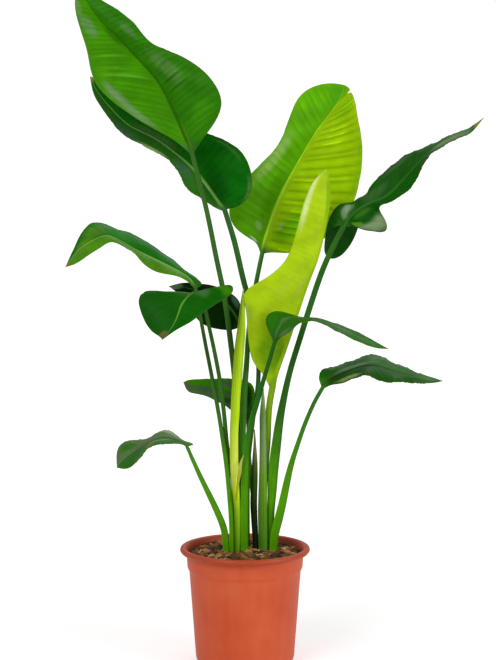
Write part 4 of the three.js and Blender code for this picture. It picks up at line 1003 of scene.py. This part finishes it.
def build_stem(name, label, material, hues, wall=None, rolls=0.0):
    """A stem without a blade, with its colours by height, painted lighter and darker round it as
    light falls, and on a rolled leaf a painted shadow beside the seam of its free margin. wall
    hollows its back to a sheath that thick, and rolls winds the free margin of a rolled leaf
    round it, in turns."""
    line, sizes = stalk_line(STEMS[name], STEM_ROW_SPACING)
    sides, fronts = stalk_frames(line)
    angles = np.pi * (np.arange(STEM_COLUMNS) + 0.5) / STEM_COLUMNS
    cosine, sine = -np.cos(angles), np.sin(angles)
    seam = 2 * np.pi * rolls * np.linspace(0, 1, len(line))[:, None] + SEAM_START

    def surface(sign):
        round_trip = angles if sign > 0 else 2 * np.pi - angles
        swell = 1
        if rolls:
            gone = ((round_trip - seam) % (2 * np.pi)) / (2 * np.pi)
            swell = 0.90 + 0.16 * gone ** 1.5
        depth = sine * swell * sizes[:, 1:] / 2
        if wall and sign < 0:
            depth = wall * (0.35 + 0.65 * sine) - depth
        return (line[:, None] + sides[:, None] * (cosine * swell * sizes[:, :1] / 2)[..., None]
                + sign * fronts[:, None] * depth[..., None])

    corners, faces = loft(surface(1), surface(-1))
    piece = mesh_piece(label, corners, faces, material)
    around = np.concatenate([angles, 2 * np.pi - angles])
    add_values(piece, "vein", np.repeat(STEM_VEINS * around[None], len(line), axis=0).ravel())
    heights = [height for height, _ in hues]
    bands = np.array([linear(colour) for _, colour in hues])
    by_height = np.stack([np.interp(line[:, 2], heights, bands[:, k]) for k in range(3)], 1)
    # Painted light and shade round the stem, and on a rolled leaf a painted shadow just beside the
    # seam where its free margin overlaps.
    painted_round_light = 1 - 0.22 * np.cos(2 * (np.tile(angles, 2) - 0.9))
    if rolls:
        painted_round_light = painted_round_light * (0.5 + 0.5 * ramp((seam - around) % (2 * np.pi), 0.0, 0.5))
    painted_round_light = np.broadcast_to(painted_round_light, (len(line), len(around)))
    add_values(piece, "skin", (by_height[:, None] * painted_round_light[..., None]).reshape(-1, 3))
    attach(piece, "root")
    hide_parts(name)


def lathe(profile, sides, wobble=0.0):
    """A closed turned body from [radius, height] pairs that start and end on the axis."""
    angles = np.linspace(0, 2 * np.pi, sides, endpoint=False)
    rings = np.array(profile[1:-1], float)
    out_of_round = 1 + wobble * np.sin(2 * angles + 0.7) + 0.6 * wobble * np.sin(3 * angles)
    x, y = (rings[:, :1] * turn(angles) * out_of_round for turn in (np.cos, np.sin))
    z = np.repeat(rings[:, 1:], sides, axis=1)
    corners = np.stack([x, y, z], -1).reshape(-1, 3)
    ids = np.arange(len(corners)).reshape(len(rings), sides)
    after = np.roll(ids, -1, axis=1)
    faces = np.stack([ids[:-1], after[:-1], after[1:], ids[1:]], -1).reshape(-1, 4).tolist()
    bottom, top = len(corners), len(corners) + 1
    corners = np.vstack([corners, [0, 0, profile[0][1]], [0, 0, profile[-1][1]]])
    faces += [[bottom, int(b), int(a)] for a, b in zip(ids[0], after[0])]
    faces += [[top, int(a), int(b)] for a, b in zip(ids[-1], after[-1])]
    return corners, faces


def rounded(points, radius, steps=4):
    """A [radius, height] outline with each of its inner corners rounded."""
    points = [np.array(p, float) for p in points]
    out = [points[0]]
    for before, corner, after in zip(points, points[1:], points[2:]):
        a, b = before - corner, after - corner
        la, lb = np.linalg.norm(a), np.linalg.norm(b)
        cut = min(radius, 0.45 * la, 0.45 * lb)
        start, end = corner + a / la * cut, corner + b / lb * cut
        for k in range(steps + 1):
            t = k / steps
            out.append((1 - t) ** 2 * start + 2 * t * (1 - t) * corner + t ** 2 * end)
    out.append(points[-1])
    return out


class PLANT_OT_pot(bpy.types.Operator):
    """Build the moulded nursery pot with its rolled lip, collar and drain holes"""

    bl_idname = "plant.pot"
    bl_label = "Nursery pot"

    def execute(self, context):
        pot = context.scene.plant_pot
        top = POT_HEIGHT
        outside = rounded([
            (0, 0), (FOOT_RADIUS, 0), (HEEL[0] - 0.8, HEEL[1] - 4), (HEEL[0] + 0.4, HEEL[1]),
            (SHOULDER[0] - 0.6, SHOULDER[1] - 2), COLLAR_BOTTOM, COLLAR_TOP,
            (LIP_RADIUS - 3.2, top - LIP_DROP - 0.6), (LIP_RADIUS - 0.3, top - LIP_DROP + 3),
            (LIP_RADIUS, top - 4.2), (LIP_RADIUS - 1, top - 1.2), (LIP_RADIUS - 3.2, top),
            (COLLAR_TOP[0] + 1.5, top - 0.6), (COLLAR_TOP[0] - 0.6, top - 4),
            (COLLAR_TOP[0] - POT_WALL, top - LIP_DROP),
            (COLLAR_BOTTOM[0] - POT_WALL, COLLAR_BOTTOM[1] + 1),
            (SHOULDER[0] - POT_WALL, SHOULDER[1]), (HEEL[0] - POT_WALL, HEEL[1]),
            (FOOT_RADIUS - POT_WALL, POT_FLOOR), (0, POT_FLOOR)], CORNER_RADIUS)
        corners, faces = lathe(outside, POT_SIDES, wobble=pot.wobble)
        piece = mesh_piece("nursery_pot", corners, faces, moulded_plastic(pot),
                           sharp=math.radians(50))
        for k in range(DRAIN_HOLES):
            angle = 2 * math.pi * k / DRAIN_HOLES
            hole, sides = lathe([(0, -5), (DRAIN_RADIUS, -5), (DRAIN_RADIUS, 8), (0, 8)],
                                HOLE_SIDES)
            hole += (DRAIN_CIRCLE * math.cos(angle), DRAIN_CIRCLE * math.sin(angle), 0)
            cutter = mesh_piece("drain_cutter", hole, sides, piece.data.materials[0])
            cut = piece.modifiers.new("drain", "BOOLEAN")
            cut.object, cut.operation, cut.solver = cutter, "DIFFERENCE", "EXACT"
            settle(piece)
            bpy.data.objects.remove(cutter)
        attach(piece, "root")
        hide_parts("pot")
        return {"FINISHED"}


def mix_height(x, y):
    """Height of the mix's loose surface, lumpy and a little mounded, in millimetres."""
    radius = np.hypot(x, y)
    mound = 4 * (1 - (radius / 92) ** 2)
    lumps = (1.3 * np.sin(x / 6.1 + 1.2) * np.cos(y / 5.3) + 1.2 * np.sin(x / 3.7 - y / 4.9)
             + 0.7 * np.sin(x / 1.9 + 2 * np.sin(y / 3.1)) * np.cos(y / 2.3 + 0.4))
    return SOIL_TOP + mound + lumps * (1 - 0.5 * ramp(radius, 84, 92))


def scatter_tree(material):
    """Geometry nodes that strew rough chips over a surface."""
    tree = bpy.data.node_groups.new("strewn_chips", "GeometryNodeTree")
    face = tree.interface
    face.new_socket("Geometry", in_out="INPUT", socket_type="NodeSocketGeometry")
    for label, kind, value in (
            ("Chips per square metre", "NodeSocketFloat", 20000.0),
            ("Length", "NodeSocketFloat", 0.012), ("Breadth", "NodeSocketFloat", 0.006),
            ("Thickness", "NodeSocketFloat", 0.003), ("Palest", "NodeSocketFloat", 0.5),
            ("Seed", "NodeSocketInt", 1)):
        face.new_socket(label, in_out="INPUT", socket_type=kind).default_value = value
    face.new_socket("Geometry", in_out="OUTPUT", socket_type="NodeSocketGeometry")
    given = add_node(tree, "NodeGroupInput").outputs
    points = add_node(tree, "GeometryNodeDistributePointsOnFaces", {},
                      {"Mesh": given["Geometry"], "Density": given["Chips per square metre"],
                       "Seed": given["Seed"]})
    lump = add_node(tree, "GeometryNodeMeshIcoSphere", {},
                    {"Radius": 0.5, "Subdivisions": 2}).outputs["Mesh"]
    size = add_node(tree, "ShaderNodeCombineXYZ", {},
                    {"X": given["Length"], "Y": given["Breadth"], "Z": given["Thickness"]}
                    ).outputs[0]
    change = add_node(tree, "FunctionNodeRandomValue", {"data_type": "FLOAT"},
                      {"Min": 0.45, "Max": 1.35, "Seed": given["Seed"]})
    grown = add_node(tree, "ShaderNodeVectorMath", {"operation": "SCALE"},
                     {0: size, "Scale": change.outputs["Value"]}).outputs[0]
    turn = add_node(tree, "FunctionNodeRandomValue", {"data_type": "FLOAT_VECTOR"},
                    {"Min": (-0.5, -0.5, 0.0), "Max": (0.5, 0.5, 6.28), "Seed": given["Seed"]})
    placed = add_node(tree, "GeometryNodeInstanceOnPoints", {},
                      {"Points": points.outputs["Points"], "Instance": lump,
                       "Rotation": turn.outputs["Value"], "Scale": grown}).outputs[0]
    tint = add_node(tree, "FunctionNodeRandomValue", {"data_type": "FLOAT"},
                    {"Min": 0.0, "Max": given["Palest"], "Seed": 5})
    named = add_node(tree, "GeometryNodeStoreNamedAttribute",
                     {"data_type": "FLOAT", "domain": "INSTANCE"},
                     {"Geometry": placed, "Name": "chip_tint"})
    tree.links.new(tint.outputs[1], [s for s in named.inputs if s.name == "Value"][0])
    real = add_node(tree, "GeometryNodeRealizeInstances", {}, {"Geometry": named.outputs[0]})
    place = add_node(tree, "GeometryNodeInputPosition").outputs[0]
    # Each chip is torn out of round in lumps of about 2.4 mm.
    rough = add_node(tree, "ShaderNodeTexNoise", {},
                     {"Vector": place, "Scale": 420.0, "Detail": 1.0}).outputs["Color"]
    centred = add_node(tree, "ShaderNodeVectorMath", {"operation": "SUBTRACT"},
                       {0: rough, 1: (0.5, 0.5, 0.5)}).outputs[0]
    shift = add_node(tree, "ShaderNodeVectorMath", {"operation": "SCALE"},
                     {0: centred, "Scale": 0.006}).outputs[0]
    torn = add_node(tree, "GeometryNodeSetPosition", {},
                    {"Geometry": real.outputs[0], "Offset": shift})
    coated = add_node(tree, "GeometryNodeSetMaterial", {},
                      {"Geometry": torn.outputs[0], "Material": material})
    add_node(tree, "NodeGroupOutput", {}, {"Geometry": coated.outputs[0]})
    return tree


class PLANT_OT_mix(bpy.types.Operator):
    """Fill the pot with potting mix, and strew its top with bark chips and crumbs"""

    bl_idname = "plant.mix"
    bl_label = "Potting mix"

    def execute(self, context):
        mix = context.scene.plant_mix
        material = bark_and_peat()

        profile = [(0, MIX_BOTTOM)] + [
            (radius - POT_WALL - MIX_CLEARANCE, height) for radius, height in (
                (FOOT_RADIUS - 0.1, MIX_BOTTOM), (HEEL[0], 9.4), SHOULDER,
                (COLLAR_BOTTOM[0], 159), (COLLAR_TOP[0], SOIL_TOP))]
        rim = profile[-1][0]
        profile += [(rim * k / MIX_RINGS, SOIL_TOP) for k in reversed(range(MIX_RINGS))]
        corners, faces = lathe(profile, MIX_SIDES)
        top = corners[:, 2] > SOIL_TOP - 0.1
        corners[top, 2] = mix_height(corners[top, 0], corners[top, 1])
        body = mesh_piece("potting_mix", corners, faces, material)
        add_values(body, "chip_tint", np.full(len(corners), MIX_TINT))
        clear = top & (np.hypot(corners[:, 0], corners[:, 1]) < STREWN_RADIUS)
        cover = [f for f in faces if all(clear[i] for i in f)]
        trees = scatter_tree(material)
        for name, amount, length, breadth, thickness, palest, seed in (
                ("bark_chips", mix.chips, 0.0150, 0.0100, 0.0070, 0.62, mix.seed),
                ("mix_crumbs", mix.crumbs, 0.0050, 0.0036, 0.0028, 0.34, mix.seed + 1)):
            piece = mesh_piece(name, corners, cover, material)
            strew = piece.modifiers.new("strewn", "NODES")
            strew.node_group = trees
            values = {"Chips per square metre": float(amount), "Length": length,
                      "Breadth": breadth, "Thickness": thickness, "Palest": palest,
                      "Seed": seed}
            for item in trees.interface.items_tree:
                if item.in_out == "INPUT" and item.name in values:
                    strew[item.identifier] = values[item.name]
            settle(piece)
            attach(piece, "root")
        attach(body, "root")
        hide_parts("soil")
        return {"FINISHED"}


class PLANT_OT_leaves(bpy.types.Operator):
    """Build the twelve open leaves with their stalks"""

    bl_idname = "plant.leaves"
    bl_label = "Open leaves"

    def execute(self, context):
        material = leaf_tissue()
        for number, name in enumerate(LEAVES):
            build_leaf(name, material, 100 + 13 * number)
        return {"FINISHED"}


class PLANT_OT_rolled(bpy.types.Operator):
    """Build the youngest leaf, still rolled into a spear"""

    bl_idname = "plant.rolled"
    bl_label = "Rolled leaf"

    def execute(self, context):
        build_stem("leaf_rolled", "spear_leaf",
                   striped_stem("rolled_leaf_tissue", 0.38, 0.25), SPEAR_HUES, rolls=0.9)
        return {"FINISHED"}


class PLANT_OT_sheaths(bpy.types.Operator):
    """Build the two old leaf sheaths between the stalks"""

    bl_idname = "plant.sheaths"
    bl_label = "Old sheaths"

    def execute(self, context):
        build_stem("sheath_old", "green_sheath",
                   striped_stem("old_sheath_tissue", 0.5, 0.3), SHEATH_HUES, wall=2.0)
        build_stem("sheath_dry", "dry_sheath",
                   striped_stem("dried_sheath_fibre", 0.75, 0.45), DRY_HUES, wall=1.6)
        return {"FINISHED"}


class PLANT_OT_stage(bpy.types.Operator):
    """Set up the camera, the white paper and the soft studio light"""

    bl_idname = "plant.stage"
    bl_label = "Stage"

    def execute(self, context):
        stage = context.scene.plant_stage
        scene = context.scene
        lens = bpy.data.cameras.new("camera")
        lens.sensor_fit = "VERTICAL"
        lens.sensor_height = SENSOR_HEIGHT
        lens.lens = SENSOR_HEIGHT * EYE_DISTANCE / FRAME_HEIGHT
        camera = bpy.data.objects.new("camera", lens)
        camera.location = Vector(EYE * MM)
        camera.rotation_euler = (math.pi / 2 - EYE_TILT, 0, 0)
        scene.collection.objects.link(camera)
        scene.camera = camera

        # The paper lies flat, bends up behind the plant and runs on as a wall, in metres.
        reach, start, bend, height = 9.0, 2.2, 3.4, 9.0
        run = [(-reach, 0.0)] + [(start + bend * math.sin(a), bend * (1 - math.cos(a)))
                                 for a in np.linspace(0, math.pi / 2, 24)]
        run.append((start + bend, height))
        corners = [(x, y, z) for y, z in run for x in (-reach, reach)]
        faces = [(2 * k, 2 * k + 1, 2 * k + 3, 2 * k + 2) for k in range(len(run) - 1)]
        floor = mesh_piece("backdrop", np.array(corners) / MM, faces, studio_paper(stage.glow))

        world = bpy.data.worlds.new("studio_white")
        world.use_nodes = True
        tree = world.node_tree
        seen_directly = add_node(tree, "ShaderNodeLightPath").outputs["Is Camera Ray"]
        strength = add_node(tree, "ShaderNodeMapRange", {},
                            {0: seen_directly, 3: stage.surround, 4: 1.0}).outputs[0]
        fill_sockets(tree, tree.nodes["Background"],
                     {"Color": (1, 1, 1, 1), "Strength": strength})
        scene.world = world

        plant_middle = Vector((0, 0, 0.6))
        for name, place, size, power in (
                ("window", (-1.6, -2.2, 2.6), 1.6, stage.key),
                ("fill", (2.4, -1.6, 1.2), 1.4, stage.fill),
                ("hair", (0.6, 1.8, 2.8), 1.2, stage.rim)):
            light = bpy.data.lights.new(name, "AREA")
            light.size, light.energy = size, power
            lamp = bpy.data.objects.new(name, light)
            lamp.location = place
            facing = plant_middle - lamp.location
            lamp.rotation_euler = facing.to_track_quat("-Z", "Y").to_euler()
            scene.collection.objects.link(lamp)
        scene.view_settings.view_transform = "Standard"
        return {"FINISHED"}


class PotSettings(bpy.types.PropertyGroup):
    wall_light: FloatVectorProperty(
        name="Wall, light", description="Paler tone of the plastic", subtype="COLOR",
        min=0, max=1, default=linear("#e2643a"))
    wall_dark: FloatVectorProperty(
        name="Wall, dark", description="Deeper tone of the plastic", subtype="COLOR",
        min=0, max=1, default=linear("#d8542a"))
    wobble: FloatProperty(
        name="Out of round", description="How far the thin wall is out of round, as a share",
        min=0, max=0.01, default=0.0015)


class MixSettings(bpy.types.PropertyGroup):
    chips: IntProperty(
        name="Chips", description="Bark chips per square metre", min=0, max=60000,
        default=24000)
    crumbs: IntProperty(
        name="Crumbs", description="Small crumbs per square metre", min=0, max=200000,
        default=90000)
    seed: IntProperty(name="Seed", description="Seed of where the chips lie", default=4)


class StageSettings(bpy.types.PropertyGroup):
    surround: FloatProperty(
        name="Surround", description="Strength of the white surround", min=0, default=0.4)
    glow: FloatProperty(
        name="Paper glow", description="How much brighter the paper is lit than the plant",
        min=0, default=0.42)
    key: FloatProperty(
        name="Window", description="Power of the window light", min=0, default=40.0,
        unit="POWER")
    fill: FloatProperty(
        name="Fill", description="Power of the fill light", min=0, default=28.0, unit="POWER")
    rim: FloatProperty(
        name="Hair", description="Power of the light behind", min=0, default=16.0,
        unit="POWER")


OPERATORS = (PLANT_OT_stage, PLANT_OT_pot, PLANT_OT_mix, PLANT_OT_leaves, PLANT_OT_rolled,
             PLANT_OT_sheaths)
SETTINGS = {"plant_pot": PotSettings, "plant_mix": MixSettings, "plant_stage": StageSettings}


class PLANT_PT_panel(bpy.types.Panel):
    """Lists the pieces of the plant and their settings"""

    bl_idname = "PLANT_PT_panel"
    bl_label = "Potted plant"
    bl_space_type = "VIEW_3D"
    bl_region_type = "UI"
    bl_category = "Plant"

    def draw(self, context):
        layout = self.layout
        for operator in OPERATORS:
            layout.operator(operator.bl_idname)
        for name, group in SETTINGS.items():
            box = layout.box()
            for key in group.__annotations__:
                box.prop(getattr(context.scene, name), key)


CLASSES = (*SETTINGS.values(), *OPERATORS, PLANT_PT_panel)


def register():
    for made in CLASSES:
        bpy.utils.register_class(made)
    for name, group in SETTINGS.items():
        setattr(bpy.types.Scene, name, PointerProperty(type=group))


def unregister():
    for name in SETTINGS:
        delattr(bpy.types.Scene, name)
    for made in reversed(CLASSES):
        bpy.utils.unregister_class(made)


def plain(box):
    """A box's corners as short lists."""
    return [[round(float(v), 6) for v in corner] for corner in box]


def main():
    register()
    bpy.ops.plant.stage()
    bpy.ops.plant.pot()
    bpy.ops.plant.mix()
    bpy.ops.plant.leaves()
    bpy.ops.plant.rolled()
    bpy.ops.plant.sheaths()


if __name__ == "__main__":
    main()
